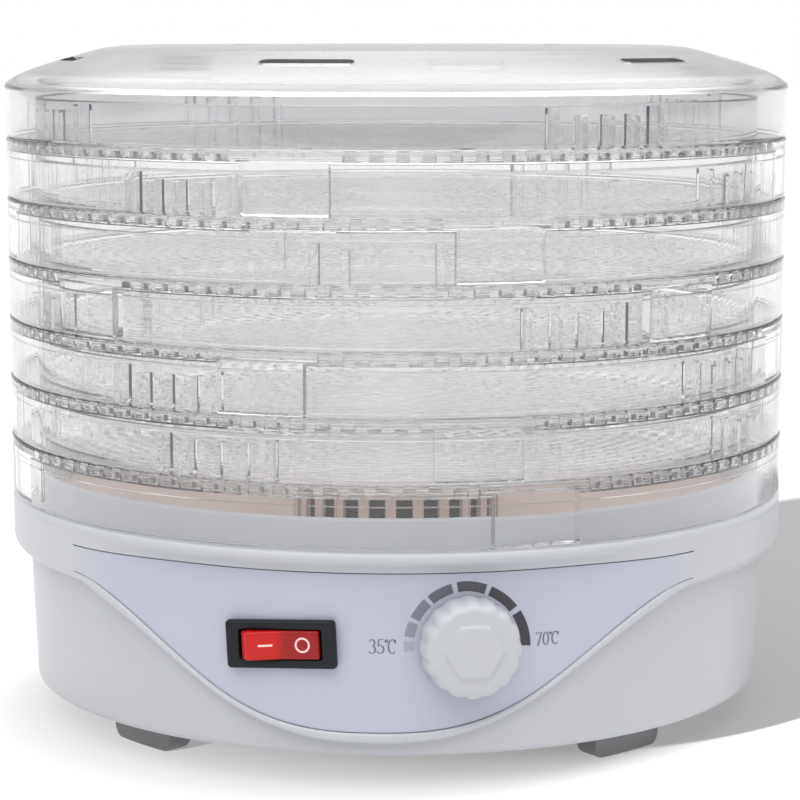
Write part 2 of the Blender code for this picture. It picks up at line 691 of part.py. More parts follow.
def make_motor(paint):
    low, high = STATOR_Z
    screw_xs = (-MOTOR_SCREW_X, MOTOR_SCREW_X)
    screw_holes = [circle(1.9, 8, (x, 0)) for x in screw_xs]
    outline = [(-24, -16), (24, -16), (24, 33), (-24, 33)]
    window = rectangle(27, 9, (0, 21))
    stator = prism("motor_stator", outline, low, high, [circle(ROTOR_R + 0.5, 24), window, *screw_holes])
    place("motor_stator", stator, paint["lamination"])
    coil = place("motor_coil", box("motor_coil", (-11, 17.2, 14.5), (11, 41, 39.4)), paint["copper"])
    cut(coil, box("coil_eye", (-14, 25.5 - GAP, low - GAP), (14, 33 + GAP, high + GAP)))
    for side, plate, pads, bearing in (
        ("lower", (18.0, 19.2), (18.6, low - GAP), (17.2, 20.6)),
        ("upper", (35.0, 36.2), (high + GAP, 35.6), (33.6, 37.0)),
    ):
        strap = prism("strap", rounded_rectangle(46, 11, 3), *plate, [circle(4.3, 12), *screw_holes])
        bracket = place("motor_bracket_" + side, strap, paint["steel"])
        feet = [prism("pad", circle(3.2, 10, (x, 0)), *pads, [circle(1.9, 8, (x, 0))]) for x in screw_xs]
        add(bracket, merged("bracket_pads_" + side, feet))
        bush = prism("bush", circle(4.0, 12), *bearing, [circle(SHAFT_R + 0.1, 12)])
        place("motor_bearing_" + side, bush, paint["brass"])
    screw = [(0, 13.4), (1.3, 13.4), (1.3, 36.5), (2.9, 36.5), (2.9, 38.4), (0, 38.4)]
    for side, x in zip(("left", "right"), screw_xs):
        piece = place("motor_screw_" + side, turned("motor_screw", screw, 10), paint["steel"])
        piece.location.x = x * MM
    rotor = prism("motor_rotor", circle(ROTOR_R, 24), low - 0.4, high + 0.4, [circle(SHAFT_R + GAP, 12)])
    place("motor_rotor", rotor, paint["lamination"])
    place("motor_shaft", prism("motor_shaft", circle(SHAFT_R, 12), 14.5, 53.0), paint["steel"])


def make_fan(paint):
    low, high = FAN_Z
    hub = prism("fan_impeller", circle(7.5), low, high, [circle(SHAFT_R + GAP, 12)])
    fan = place("fan_impeller", hub, paint["black_plastic"])
    blades = []
    for k in range(FAN_BLADES):
        blade = box("blade", (5.5, -6.2, -0.6), (FAN_R, 6.2, 0.6))
        spin = Matrix.Rotation(2 * math.pi * k / FAN_BLADES, 4, "Z")
        pitch = Matrix.Rotation(math.radians(33), 4, "X")
        blades.append(moved(blade, Matrix.Translation((0, 0, (low + high) / 2)) @ spin @ pitch))
    blade_set = merged("fan_blades", blades)
    add(fan, blade_set)
    cut(fan, prism("fan_bore", circle(SHAFT_R + GAP, 12), low - 1, high + 1))
    clip = prism("fan_clip", circle(3.8, 12), high + GAP, high + 1.4, [circle(SHAFT_R + GAP, 12)])
    place("fan_clip", clip, paint["steel"])


def tube(name, path, radius, material, resolution=1):
    curve = bpy.data.curves.new(name, "CURVE")
    curve.dimensions = "3D"
    curve.bevel_depth = radius * MM
    curve.bevel_resolution = resolution
    curve.use_fill_caps = True
    spline = curve.splines.new("POLY")
    spline.points.add(len(path) - 1)
    for point, place_mm in zip(spline.points, path):
        point.co = (*(Vector(place_mm) * MM), 1.0)
    curve.materials.append(material)
    thing = bpy.data.objects.new(name, curve)
    bpy.context.scene.collection.objects.link(thing)
    return thing


def smooth_path(stops, per_span=3):
    """A Catmull-Rom curve through the stops."""
    points = [Vector(stop) for stop in stops]
    padded = [points[0] * 2 - points[1], *points, points[-1] * 2 - points[-2]]
    path = []
    for before, start, end, after in zip(padded, padded[1:], padded[2:], padded[3:]):
        for k in range(per_span):
            t = k / per_span
            path.append(
                0.5 * (2 * start + (end - before) * t + (2 * before - 5 * start + 4 * end - after) * t**2
                + (3 * start - before - 3 * end + after) * t**3)
            )
    return [*path, points[-1]]


def behind_panel(angle, height, across, depth):
    """Two stops of a lead that leaves a terminal straight back, at a depth behind the panel."""
    turn = math.radians(angle)
    stops = []
    for back in (depth + 0.7, depth + 5.0):
        x, y, z = on_cylinder(SKIN_R - back, angle, height)
        stops.append((x + across * math.cos(turn), y + across * math.sin(turn), z))
    return stops


def make_wiring(paint):
    bore_r = 3.4
    barrel = [(bore_r, 110.5), (GLAND_R, 110.5), (GLAND_R, BODY_TOP_R + 0.1)]
    flange = [(7.0, BODY_TOP_R + 0.1), (6.4, 119.8), (bore_r, 120.6)]
    gland = turned("cord_gland", barrel + flange, SMALL_SEGMENTS)
    place("cord_gland", moved(gland, out_of_rear()), paint["black_plastic"])
    floor = COVER_Z[1] + GAP
    bridge = box("cord_clamp", (-10, 86, floor), (10, 94, floor + 7))
    clamp = place("cord_clamp", bridge, paint["grey_plastic"])
    cut(clamp, box("clamp_arch", (-3.5, 80, floor - 2), (3.5, 100, floor + 5)))
    strip = box("terminal_block", (-66, -10, floor), (-52, 16, floor + 13))
    block = place("terminal_block", strip, paint["ceramic"])
    entries = [box("entry", (-70, y - 2, floor + 3), (-62, y + 2, floor + 7)) for y in (-5, 3, 11)]
    cut(block, merged("block_entries", entries))
    switch_back = SWITCH_BODY[2] + TERMINAL_LENGTH
    thermostat_back = THERMOSTAT_DEPTH + TERMINAL_LENGTH
    mains = behind_panel(SWITCH_ANGLE, SWITCH_Z, -7.0, switch_back)
    switched = behind_panel(SWITCH_ANGLE, SWITCH_Z, 7.0, switch_back)
    stat_in = behind_panel(KNOB_ANGLE, KNOB_Z, -6.0, thermostat_back)
    stat_out = behind_panel(KNOB_ANGLE, KNOB_Z, 6.0, thermostat_back)
    routes = {
        "lead_mains_switch": [(-51, -5, 20), (-46, -20, 22), (-40, -48, 34), *mains[::-1]],
        "lead_switch_thermostat": [*switched, (0, -68, 37), *stat_in[::-1]],
        "lead_thermostat_heater": [*stat_out, (34, -50, 37), (37.5, -30, 38), (35, -22, 44)],
        "lead_mains_motor": [(-51, 11, 20), (-44, 18, 19), (-34, 28, 19), (-24, 35, 20), (-12.5, 37, 21)],
    }
    for name, stops in routes.items():
        tube(name, smooth_path(stops), 1.0, paint["lead_sleeve"])


# --------------------------------------------------------------------- main


def main():
    for thing in list(bpy.data.objects):
        bpy.data.objects.remove(thing)
    paint = make_materials()
    switch_frame = panel_frame("switch_frame", SWITCH_ANGLE, SWITCH_Z)
    knob_frame = panel_frame("knob_frame", KNOB_ANGLE, KNOB_Z)
    make_housing(paint, switch_frame, knob_frame)
    make_switch(paint, switch_frame)
    make_thermostat(paint, knob_frame)
    make_bottom_cover(paint)
    make_feet_and_screws(paint)
    make_deck(paint)
    make_cage(paint)
    make_heater(paint)
    make_motor(paint)
    make_fan(paint)
    make_wiring(paint)
    make_trays(paint)
    make_lid(paint)


main()
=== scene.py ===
"""Looks of the food dehydrator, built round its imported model.

Lengths are in millimetres and angles in degrees, counted from the front of the base towards +X.
Meshes are turned into metres when they are made.
"""

import json
import math

import bmesh
import bpy
from mathutils import Matrix, Vector


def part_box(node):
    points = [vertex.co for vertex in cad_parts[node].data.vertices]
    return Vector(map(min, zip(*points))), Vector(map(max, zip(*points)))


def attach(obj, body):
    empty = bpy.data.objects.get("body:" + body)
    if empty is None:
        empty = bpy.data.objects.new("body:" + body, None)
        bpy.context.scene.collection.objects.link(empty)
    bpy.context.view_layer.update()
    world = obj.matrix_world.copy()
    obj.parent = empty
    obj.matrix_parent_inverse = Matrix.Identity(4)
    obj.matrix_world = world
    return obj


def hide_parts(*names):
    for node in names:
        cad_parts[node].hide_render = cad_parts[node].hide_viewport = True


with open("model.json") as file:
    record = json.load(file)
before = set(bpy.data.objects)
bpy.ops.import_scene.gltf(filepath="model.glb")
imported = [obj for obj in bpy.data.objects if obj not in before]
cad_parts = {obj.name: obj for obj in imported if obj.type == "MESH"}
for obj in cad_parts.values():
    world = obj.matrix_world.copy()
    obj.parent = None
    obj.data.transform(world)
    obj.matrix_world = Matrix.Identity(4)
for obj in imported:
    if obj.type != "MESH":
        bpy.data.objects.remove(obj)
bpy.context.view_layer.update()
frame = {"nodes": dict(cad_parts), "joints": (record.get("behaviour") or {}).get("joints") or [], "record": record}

MM = 0.001
GAP = 0.3
NODES = frame["nodes"]
JOINTS = {joint["name"]: joint for joint in frame["joints"]}


def node_box(node):
    low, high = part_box(node)
    return low / MM, high / MM


# ---------------------------------------------------------------- driving sizes

OUTER_R = node_box("tray_6")[1].x
BASE_LOW, BASE_HIGH = (corner.z for corner in node_box("base_housing"))
SHOULDER_Z = BASE_HIGH - 8.2
COLLAR_R = 115.8
COLLAR_INNER_R = 113.4
BODY_LOW_R = 115.5
BODY_HIGH_R = 117.1
BAND_BOTTOM_Z = 51.0
BAND_R = OUTER_R - 0.2
SKIN_R = math.hypot(*JOINTS["knob_turn"]["pos_m"][:2]) / MM
LABEL_TOP_Z = node_box("control_label")[1].z
LABEL_THICK = 0.5
SHIELD_LOW_Z, SHIELD_HALF_ANGLE, SHIELD_POWER = 13.7, 49.2, 1.25
LABEL_LOW_Z, LABEL_HALF_ANGLE, LABEL_POWER = 17.3, 48.0, 1.38
WAVE_RISE = 37.7
SWITCH_ROLL = 3.0
FLOOR_LAMP_ELEVATION, FLOOR_LAMP_AZIMUTH = 11.0, -43.0

TRAY_PITCH = 18.4
WALL_R = 113.3
WALL_INNER_R = 111.8
RIM_Z = 12.2
RIB_R = 118.0
RIB_TOPS = (11.3, 9.3, 9.3, 9.3, 11.3)
RIB_PITCH = 4.3
RIB_HALF = 0.55
PAD_R = 117.0
PAD_HALF = 6.0
DASH_PITCH = 90 / 26
DASH_HALF = 0.85
TRAY_TURNS = {6: 67.0, 5: 59.0, 4: 29.8, 3: 0.4, 2: 61.8, 1: 33.3}
CORNERS = {"front_left": -45.0, "front_right": 45.0, "rear_right": 135.0, "rear_left": 225.0}


# ------------------------------------------------------------------- materials


def node(tree, kind, **settings):
    made = tree.nodes.new(kind)
    for name, value in settings.items():
        made.inputs[name].default_value = value
    return made


def noise(tree, feature, stretch=(1, 1, 1), detail=3.0):
    """Noise over the object's own space, with features of a size in millimetres."""
    coords = tree.nodes.new("ShaderNodeTexCoord")
    mapping = node(tree, "ShaderNodeMapping", Scale=stretch)
    texture = node(tree, "ShaderNodeTexNoise", Scale=1 / (feature * MM), Detail=detail)
    tree.links.new(coords.outputs["Object"], mapping.inputs["Vector"])
    tree.links.new(mapping.outputs["Vector"], texture.inputs["Vector"])
    return texture.outputs["Fac"]


def spread(tree, factor, low, high, start=0.3, end=0.7):
    """Maps a stretch of a factor, by default the middle of a noise, to a range of values."""
    ramp = tree.nodes.new("ShaderNodeMapRange")
    for index, value in enumerate((start, end, low, high), start=1):
        ramp.inputs[index].default_value = value
    tree.links.new(factor, ramp.inputs["Value"])
    return ramp.outputs["Result"]


def blended(tree, factor, first, second):
    """A mix of two colours, of which the first may come from another node."""
    mix = tree.nodes.new("ShaderNodeMix")
    mix.data_type = "RGBA"
    if isinstance(first, bpy.types.NodeSocket):
        tree.links.new(first, mix.inputs[6])
    else:
        mix.inputs[6].default_value = (*first, 1)
    mix.inputs[7].default_value = (*second, 1)
    tree.links.new(factor, mix.inputs[0])
    return mix.outputs[2]


def moulded(name, rgb, roughness, mottle=0.03, grain=0.5, relief=0.006, stretch=(1, 1, 1), **settings):
    """A surface whose colour drifts a little, with a fine grain in its gloss and its height."""
    material = bpy.data.materials.new(name)
    material.use_nodes = True
    tree = material.node_tree
    shader = tree.nodes["Principled BSDF"]
    drift = spread(tree, noise(tree, 18.0, stretch), 0, 1)
    darker = [channel * (1 - mottle) for channel in rgb]
    lighter = [min(channel * (1 + mottle), 1.0) for channel in rgb]
    tree.links.new(blended(tree, drift, darker, lighter), shader.inputs["Base Color"])
    fine = noise(tree, grain, stretch)
    tree.links.new(spread(tree, fine, roughness * 0.85, roughness * 1.15), shader.inputs["Roughness"])
    bump = node(tree, "ShaderNodeBump", Strength=1.0, Distance=relief * MM)
    tree.links.new(fine, bump.inputs["Height"])
    tree.links.new(bump.outputs["Normal"], shader.inputs["Normal"])
    for key, value in settings.items():
        shader.inputs[key.replace("_", " ")].default_value = value
    return material


def clear_plastic(name, rgb, roughness, haze):
    """Clear polystyrene with slight flow marks and some haze. Lamps shine through it without caustics."""
    settings = {"Transmission_Weight": 1 - haze, "IOR": 1.49}
    material = moulded(name, rgb, roughness, 0.012, 9.0, 0.005, (1, 1, 0.5), **settings)
    tree = material.node_tree
    shader = tree.nodes["Principled BSDF"]
    output = tree.nodes["Material Output"]
    path = tree.nodes.new("ShaderNodeLightPath")
    through = node(tree, "ShaderNodeBsdfTransparent", Color=(0.99, 0.99, 0.99, 1))
    mix = tree.nodes.new("ShaderNodeMixShader")
    tree.links.new(path.outputs["Is Shadow Ray"], mix.inputs[0])
    tree.links.new(shader.outputs["BSDF"], mix.inputs[1])
    tree.links.new(through.outputs["BSDF"], mix.inputs[2])
    tree.links.new(mix.outputs["Shader"], output.inputs["Surface"])
    return material


def faded(material, far_rgb, start, end, mirrored=False):
    """Lets the colour pass into another along X. Mirrored, it does so towards both ends."""
    tree = material.node_tree
    coords = tree.nodes.new("ShaderNodeTexCoord")
    parts = tree.nodes.new("ShaderNodeSeparateXYZ")
    tree.links.new(coords.outputs["Object"], parts.inputs[0])
    place = parts.outputs["X"]
    if mirrored:
        distance = tree.nodes.new("ShaderNodeMath")
        distance.operation = "ABSOLUTE"
        tree.links.new(place, distance.inputs[0])
        place = distance.outputs[0]
    fade = spread(tree, place, 0, 1, start * MM, end * MM)
    colour = tree.nodes["Principled BSDF"].inputs["Base Color"]
    tree.links.new(blended(tree, fade, colour.links[0].from_socket, far_rgb), colour)
    return material


def label_film(rgb, edge_rgb):
    """Printed film whose tint fades out towards its two ends."""
    return faded(moulded("label_film", rgb, 0.45, 0.015, 0.35, 0.003), edge_rgb, 78, 89, mirrored=True)


def rocker_lens(rgb, far_rgb):
    """Red lens with painted shade: its colour passes into a darker red over the pressed half, standing in for that
    half tilting away from the light.
    """
    low, high = node_box("switch_rocker")
    middle = (low.x + high.x) / 2
    lens = moulded("red_lens", rgb, 0.25, 0.06, 2.0, 0.002, Specular_IOR_Level=0.3)
    return faded(lens, far_rgb, middle - 1.2, middle + 1.2)


def make_materials():
    steel = {"Metallic": 1.0}
    white = (0.495, 0.507, 0.540)
    nylon = moulded("black_nylon", (0.013, 0.015, 0.019), 0.45, 0.08, 0.35, 0.008, Specular_IOR_Level=0.22)
    stack = moulded("stamped_laminations", (0.27, 0.27, 0.29), 0.45, 0.12, 0.5, 0.05, (1, 1, 9), **steel)
    copper = moulded("copper_winding", (0.66, 0.27, 0.11), 0.38, 0.15, 0.45, 0.08, (1, 9, 1), Metallic=0.8)
    return {
        "housing": moulded("white_abs", white, 0.40, 0.012, 0.7, 0.004, Coat_Weight=0.1),
        "label": label_film((0.474, 0.485, 0.580), white),
        "clear": clear_plastic("clear_polystyrene", (0.915, 0.917, 0.922), 0.012, 0.015),
        "mesh": clear_plastic("clear_mesh", (0.93, 0.93, 0.93), 0.04, 0.14),
        "lid": clear_plastic("frosted_polystyrene", (0.80, 0.795, 0.805), 0.03, 0.025),
        # the deck's warm taupe tint is painted reflection: warm reflected light laid into the colour of white
        # plastic
        "deck": moulded("deck_plastic_with_painted_reflection", (0.60, 0.485, 0.44), 0.48, 0.05, 0.6, 0.012),
        "cover": moulded("grey_polypropylene", (0.33, 0.34, 0.35), 0.55, 0.04, 0.5, 0.02),
        "feet": moulded("grey_foot", (0.215, 0.222, 0.228), 0.5, 0.05, 0.5, 0.015),
        "black": nylon,
        # the second red is painted shade for the lens's pressed right half
        "red": rocker_lens((0.52, 0.012, 0.008), (0.30, 0.010, 0.009)),
        "mark": moulded("lens_mark", (0.86, 0.62, 0.62), 0.4, 0.03, 0.3, 0.002),
        "text_ink": moulded("text_ink", (0.16, 0.16, 0.21), 0.5, 0.06, 0.2, 0.001),
        "steel": moulded("zinc_plate", (0.60, 0.60, 0.62), 0.32, 0.08, 0.4, 0.004, (1, 1, 6), **steel),
        "lamination": stack,
        "brass": moulded("brass", (0.72, 0.55, 0.25), 0.3, 0.08, 0.4, 0.004, **steel),
        "winding": copper,
        "mica": moulded("mica_board", (0.50, 0.41, 0.28), 0.5, 0.15, 1.5, 0.02),
        "nichrome": moulded("resistance_wire", (0.30, 0.27, 0.25), 0.4, 0.1, 0.3, 0.003, **steel),
        "ceramic": moulded("glazed_ceramic", (0.78, 0.75, 0.68), 0.25, 0.04, 1.2, 0.006),
        "sleeve": moulded("glass_sleeve", (0.62, 0.60, 0.55), 0.6, 0.08, 0.35, 0.06),
    }


# --------------------------------------------------------------- shape helpers


def ease(value):
    value = min(max(value, 0.0), 1.0)
    return value * value * (3 - 2 * value)


def polar(radius, angle, height):
    turn = math.radians(angle)
    return (radius * math.sin(turn), -radius * math.cos(turn), height)


def finished(mesh):
    """Welds doubled points, drops what that flattens and turns the faces outwards."""
    shape = bmesh.new()
    shape.from_mesh(mesh)
    bmesh.ops.remove_doubles(shape, verts=shape.verts, dist=2e-6)
    bmesh.ops.recalc_face_normals(shape, faces=shape.faces)
    shape.to_mesh(mesh)
    shape.free()
    return mesh


def to_mesh(name, points, faces):
    mesh = bpy.data.meshes.new(name)
    mesh.from_pydata([Vector(point) * MM for point in points], [], faces)
    return finished(mesh)


def skin(name, sections, around=True, caps=False):
    """A mesh through a row of closed outlines with the same number of points."""
    count = len(sections[0])
    total = len(sections)
    points = [point for section in sections for point in section]
    faces = []
    for i in range(total if around else total - 1):
        n = (i + 1) % total
        for j in range(count):
            m = (j + 1) % count
            faces.append((i * count + j, i * count + m, n * count + m, n * count + j))
    if caps:
        faces.append(tuple(range(count)))
        faces.append(tuple(range(len(points) - count, len(points))))
    return to_mesh(name, points, faces)


def turned(name, profile, segments=192):
    """A closed outline of (radius, height) turned about Z."""
    angles = [360 * k / segments for k in range(segments)]
    return skin(name, [[polar(r, angle, z) for r, z in profile] for angle in angles])


def arc(centre_r, centre_z, radius, start, end, steps=4):
    """Points of a rounded corner in a (radius, height) outline."""
    turns = [math.radians(start + (end - start) * k / steps) for k in range(steps + 1)]
    return [(centre_r + radius * math.cos(t), centre_z + radius * math.sin(t)) for t in turns]


def rounded_rectangle(width, height, radius, steps=5):
    points = []
    for quarter, (sx, sy) in enumerate(((1, 1), (-1, 1), (-1, -1), (1, -1))):
        centre = (sx * (width / 2 - radius), sy * (height / 2 - radius))
        for k in range(steps + 1):
            turn = math.radians(90 * quarter + 90 * k / steps)
            points.append((centre[0] + radius * math.cos(turn), centre[1] + radius * math.sin(turn)))
    return points


def stacked(name, layers):
    """A closed mesh through (outline, height) layers, first to last."""
    return skin(name, [[(x, y, z) for x, y in outline] for outline, z in layers], around=False, caps=True)


def disc(radius, count=48):
    turns = [2 * math.pi * k / count for k in range(count)]
    return [(radius * math.cos(t), radius * math.sin(t)) for t in turns]


def joined(name, meshes):
    shape = bmesh.new()
    for mesh in meshes:
        shape.from_mesh(mesh)
    result = bpy.data.meshes.new(name)
    shape.to_mesh(result)
    shape.free()
    return result


def shifted(mesh, matrix):
    """The mesh after a move given in millimetres."""
    scaled = matrix.copy()
    scaled.translation = matrix.to_translation() * MM
    mesh.transform(scaled)
    return mesh


def combined(mesh, tool, operation="DIFFERENCE"):
    """The result of one Boolean, as a mesh."""
    objects = [bpy.data.objects.new("carving", data) for data in (mesh, tool)]
    for thing in objects:
        bpy.context.scene.collection.objects.link(thing)
    boolean = objects[0].modifiers.new("boolean", "BOOLEAN")
    boolean.operation = operation
    boolean.object = objects[1]
    boolean.solver = "EXACT"
    graph = bpy.context.evaluated_depsgraph_get()
    result = bpy.data.meshes.new_from_object(objects[0].evaluated_get(graph))
    result.name = mesh.name
    for thing in objects:
        bpy.data.objects.remove(thing)
    return result


def softened(mesh, width, segments=3, angle=30.0):
    """The mesh with its sharp edges rounded."""
    thing = bpy.data.objects.new("softening", mesh)
    bpy.context.scene.collection.objects.link(thing)
    bevel = thing.modifiers.new("bevel", "BEVEL")
    bevel.width = width * MM
    bevel.segments = segments
    bevel.limit_method = "ANGLE"
    bevel.angle_limit = math.radians(angle)
    graph = bpy.context.evaluated_depsgraph_get()
    result = bpy.data.meshes.new_from_object(thing.evaluated_get(graph))
    result.name = mesh.name
    bpy.data.objects.remove(thing)
    return result


def piece(name, mesh, paint, body, stands_for=(), sharp=40.0, matrix=None):
    """One visible piece: shaded, painted, and riding on its body."""
    mesh.materials.clear()
    mesh.materials.append(paint)
    mesh.shade_smooth()
    mesh.set_sharp_from_angle(angle=math.radians(sharp))
    thing = bpy.data.objects.new(name, mesh)
    bpy.context.scene.collection.objects.link(thing)
    if matrix is not None:
        thing.matrix_world = matrix
    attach(thing, body)
    if stands_for:
        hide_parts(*stands_for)
    return thing


def panel_matrix(joint):
    """Turns panel coordinates, X right, Y up and Z out, into the base's, and gives the joint's angle."""
    x, y, z = (value / MM for value in JOINTS[joint]["pos_m"])
    angle = math.degrees(math.atan2(x, -y))
    turn = math.radians(angle)
    right = Vector((math.cos(turn), math.sin(turn), 0))
    outward = Vector((math.sin(turn), -math.cos(turn), 0))
    matrix = Matrix((right, (0, 0, 1), outward)).transposed().to_4x4()
    matrix.translation = Vector(polar(SKIN_R, angle, z))
    return matrix, angle


def switch_matrix():
    """The switch's place in the shield, where it is rolled a little in its window."""
    return panel_matrix("rocker_tip")[0] @ Matrix.Rotation(math.radians(SWITCH_ROLL), 4, "Z")


# --------------------------------------------------------------------- housing


def wave(angle, low, half_angle, power):
    """Height of an S-shaped lower edge of the shield: lowest at the front."""
    share = min(abs(angle) / half_angle, 1.0) ** power
    return low + WAVE_RISE * (1 - math.cos(math.pi * share)) / 2


def label_r(angle):
    """Outer radius of the label, which swells out to meet the band at its ends."""
    return SKIN_R + (BAND_R - SKIN_R) * ease((abs(angle) - 25) / 23)


def body_r(height):
    share = (height - BASE_LOW) / (BAND_BOTTOM_Z - BASE_LOW)
    return BODY_LOW_R + (BODY_HIGH_R - BODY_LOW_R) * share


BEAD_STEPS = (0, 0.015, 0.05, 0.11, 0.2, 0.31, 0.44, 0.58, 0.7, 0.8, 0.88, 0.94, 0.98, 1.0)
FLARE_STEPS = (0.0, 0.12, 0.28, 0.46, 0.64, 0.82, 1.0)
POCKET_HALF_ANGLE = LABEL_HALF_ANGLE - 0.03


def base_front(angle):
    """The outside of the housing at one angle, from its lowest edge up to the shoulder."""
    beside = ease((abs(angle) - 42) / 7)
    low_z = wave(angle, SHIELD_LOW_Z, SHIELD_HALF_ANGLE, SHIELD_POWER)
    high_z = wave(angle, LABEL_LOW_Z, LABEL_HALF_ANGLE, LABEL_POWER) - 0.25
    high_z += 1.4 * ease((abs(angle) - LABEL_HALF_ANGLE) / 7)
    rows = [(body_r(BASE_LOW + 1.8) - 1.8, BASE_LOW)]
    rows += arc(body_r(BASE_LOW + 1.8) - 1.8, BASE_LOW + 1.8, 1.8, -72, 0, 4)
    for k in range(1, 8):
        height = BASE_LOW + 1.8 + (low_z - BASE_LOW - 1.8) * k / 8
        rows.append((body_r(height), height))
    crest = min(label_r(angle) + 1.0, BAND_R)
    rising = 0.42 + 0.58 * beside
    for step in BEAD_STEPS:
        height = low_z + (high_z - low_z) * step
        rise = math.sqrt(max(1 - (1 - min(step / rising, 1)) ** 2, 0))
        fall = 0.45 * max(0.0, (step - 0.72) / 0.28) ** 2 * (1 - beside)
        rows.append((body_r(low_z) + (crest - body_r(low_z)) * rise - fall, height))
    pocket_top = LABEL_TOP_Z + 0.35
    if abs(angle) < POCKET_HALF_ANGLE:
        floor_r = label_r(angle) - LABEL_THICK - GAP
        rows.append((floor_r, high_z + 0.03))
        rows += [(floor_r, high_z + (pocket_top - high_z) * k / 3) for k in (1, 2)]
        rows.append((floor_r, pocket_top))
        lip_r = min(label_r(angle) + 0.35, BAND_R)
    else:
        rows += [(BAND_R, high_z + (pocket_top - high_z) * k / 4) for k in (1, 2, 3, 4)]
        lip_r = BAND_R
    flare_top = SHOULDER_Z - 2.9
    for step in FLARE_STEPS:
        height = pocket_top + 0.04 + (flare_top - pocket_top) * step
        rows.append((lip_r + (BAND_R - lip_r) * ease(step), height))
    return rows


def base_section(angle):
    shoulder = [(OUTER_R, SHOULDER_Z - 2.4)] + arc(OUTER_R - 2.1, SHOULDER_Z - 2.1, 2.1, 0, 90, 6)
    collar = [(COLLAR_R + 0.8, SHOULDER_Z), (COLLAR_R + 0.2, SHOULDER_Z + 0.2), (COLLAR_R, SHOULDER_Z + 0.8)]
    collar += arc(COLLAR_R - 0.9, BASE_HIGH - 0.9, 0.9, 0, 90)
    collar += arc(COLLAR_INNER_R + 0.7, BASE_HIGH - 0.7, 0.7, 90, 180)
    ledge_low, ledge_high, inner = 60.5, 63.2, 113.3
    inside = [(COLLAR_INNER_R, ledge_high), (107.4, ledge_high), (107.4, ledge_low), (inner, ledge_low)]
    inside += [(inner, 14.7), (110.5, 14.7), (110.5, 12.7), (inner, 12.7)]
    inside += [(inner, BASE_LOW + 0.3), (inner + 0.3, BASE_LOW)]
    return [polar(r, angle, z) for r, z in base_front(angle) + shoulder + collar + inside]


def base_angles():
    """Fine steps across the shield, and a close pair at each end of the label's pocket."""
    edge = POCKET_HALF_ANGLE
    angles = {-edge - 0.008, -edge + 0.008, edge - 0.008, edge + 0.008}
    angles |= {float(k) for k in range(-56, 57)}
    angles |= {60.0 + 2.5 * k for k in range(97)}
    return sorted(angles)


def box_between(name, low, high):
    corners = [(low[0], low[1]), (high[0], low[1]), (high[0], high[1]), (low[0], high[1])]
    return stacked(name, [(corners, low[2]), (corners, high[2])])


def panel_cutters():
    width, height = 27.6, 12.6
    low, high = (-width / 2, -height / 2, -12), (width / 2, height / 2, 9)
    window = shifted(box_between("window", low, high), switch_matrix())
    hole = shifted(stacked("bush_hole", [(disc(3.8), -12), (disc(3.8), 9)]), panel_matrix("knob_turn")[0])
    return joined("panel_cutters", [window, hole])


def out_of_rear(height):
    return Matrix.Translation((0, 0, height)) @ Matrix.Rotation(math.radians(-90), 4, "X")


def make_base(paint):
    shell = skin("base_shell", [base_section(angle) for angle in base_angles()])
    shell = combined(shell, panel_cutters())
    low, high = node_box("cord_gland")
    gland_z = (low.z + high.z) / 2
    hole = shifted(stacked("gland_hole", [(disc(5.0), 100), (disc(5.0), 130)]), out_of_rear(gland_z))
    shell = combined(shell, hole)
    piece("base_shell", shell, paint["housing"], "base", ("base_housing",), 32)
    profile = [(3.4, 110.5), (4.7, 110.5), (4.7, 117.2), (7.0, 117.2), (7.0, 118.4)]
    profile += arc(5.8, 118.6, 1.2, 0, 60) + [(4.2, 120.5), (3.7, 120.4), (3.4, 120.0)]
    gland = shifted(turned("gland_bush", profile, 64), out_of_rear(gland_z))
    piece("gland_bush", gland, paint["black"], "base", ("cord_gland",))


def label_section(angle):
    low = wave(angle, LABEL_LOW_Z, LABEL_HALF_ANGLE, LABEL_POWER)
    outer, inner = label_r(angle), label_r(angle) - LABEL_THICK
    heights = [low + (LABEL_TOP_Z - low) * k / 10 for k in range(11)]
    return [polar(outer, angle, z) for z in heights] + [polar(inner, angle, z) for z in reversed(heights)]


def make_label(paint):
    angles = [LABEL_HALF_ANGLE * k / 60 for k in range(-60, 61)]
    film = skin("label_film", [label_section(angle) for angle in angles], around=False, caps=True)
    film = combined(film, panel_cutters())
    piece("label_film", film, paint["label"], "base", ("control_label",), 32)


# ------------------------------------------------------------------- printing


def on_label(u, v, out, centre_angle, centre_z):
    """A point of the panel's print, at u to the right and v above a centre, wrapped on the label."""
    angle = centre_angle + math.degrees(u / SKIN_R)
    return polar(label_r(angle) + out, angle, centre_z + v)


def make_scale():
    """Seven blocks round the knob that darken with the temperature."""
    _, angle = panel_matrix("knob_turn")
    height = JOINTS["knob_turn"]["pos_m"][2] / MM
    blocks = ((-6, 4), (8, 22.5), (26.7, 46.9), (50.8, 74.9), (80, 107.8), (112.2, 141.4), (146.7, 181))
    shades = (0.375, 0.27, 0.195, 0.125, 0.078, 0.046, 0.038)
    for number, ((start, end), shade) in enumerate(zip(blocks, shades), start=1):
        sections = []
        for k in range(13):
            turn = math.radians(180 - start - (end - start) * k / 12)
            row = []
            for r, out in ((15.05, 0.02), (17.9, 0.02), (17.9, 0.07), (15.05, 0.07)):
                right = max(r * math.cos(turn), 0.0)
                u, v = r * math.cos(turn) + 0.03 * right, r * math.sin(turn) - 0.07 * right
                row.append(on_label(u, v, out, angle, height))
            sections.append(row)
        block = skin("scale_block", sections, around=False, caps=True)
        ink = moulded(f"scale_ink_{number}", (shade, shade, shade * 1.22), 0.45, 0.03, 0.2, 0.001)
        piece(f"scale_block_{number}", block, ink, "base", sharp=60)


def ellipse(cx, cy, rx, ry, start, end, steps=18):
    turns = [math.radians(start + (end - start) * k / steps) for k in range(steps + 1)]
    return [(cx + rx * math.cos(t), cy + ry * math.sin(t)) for t in turns]


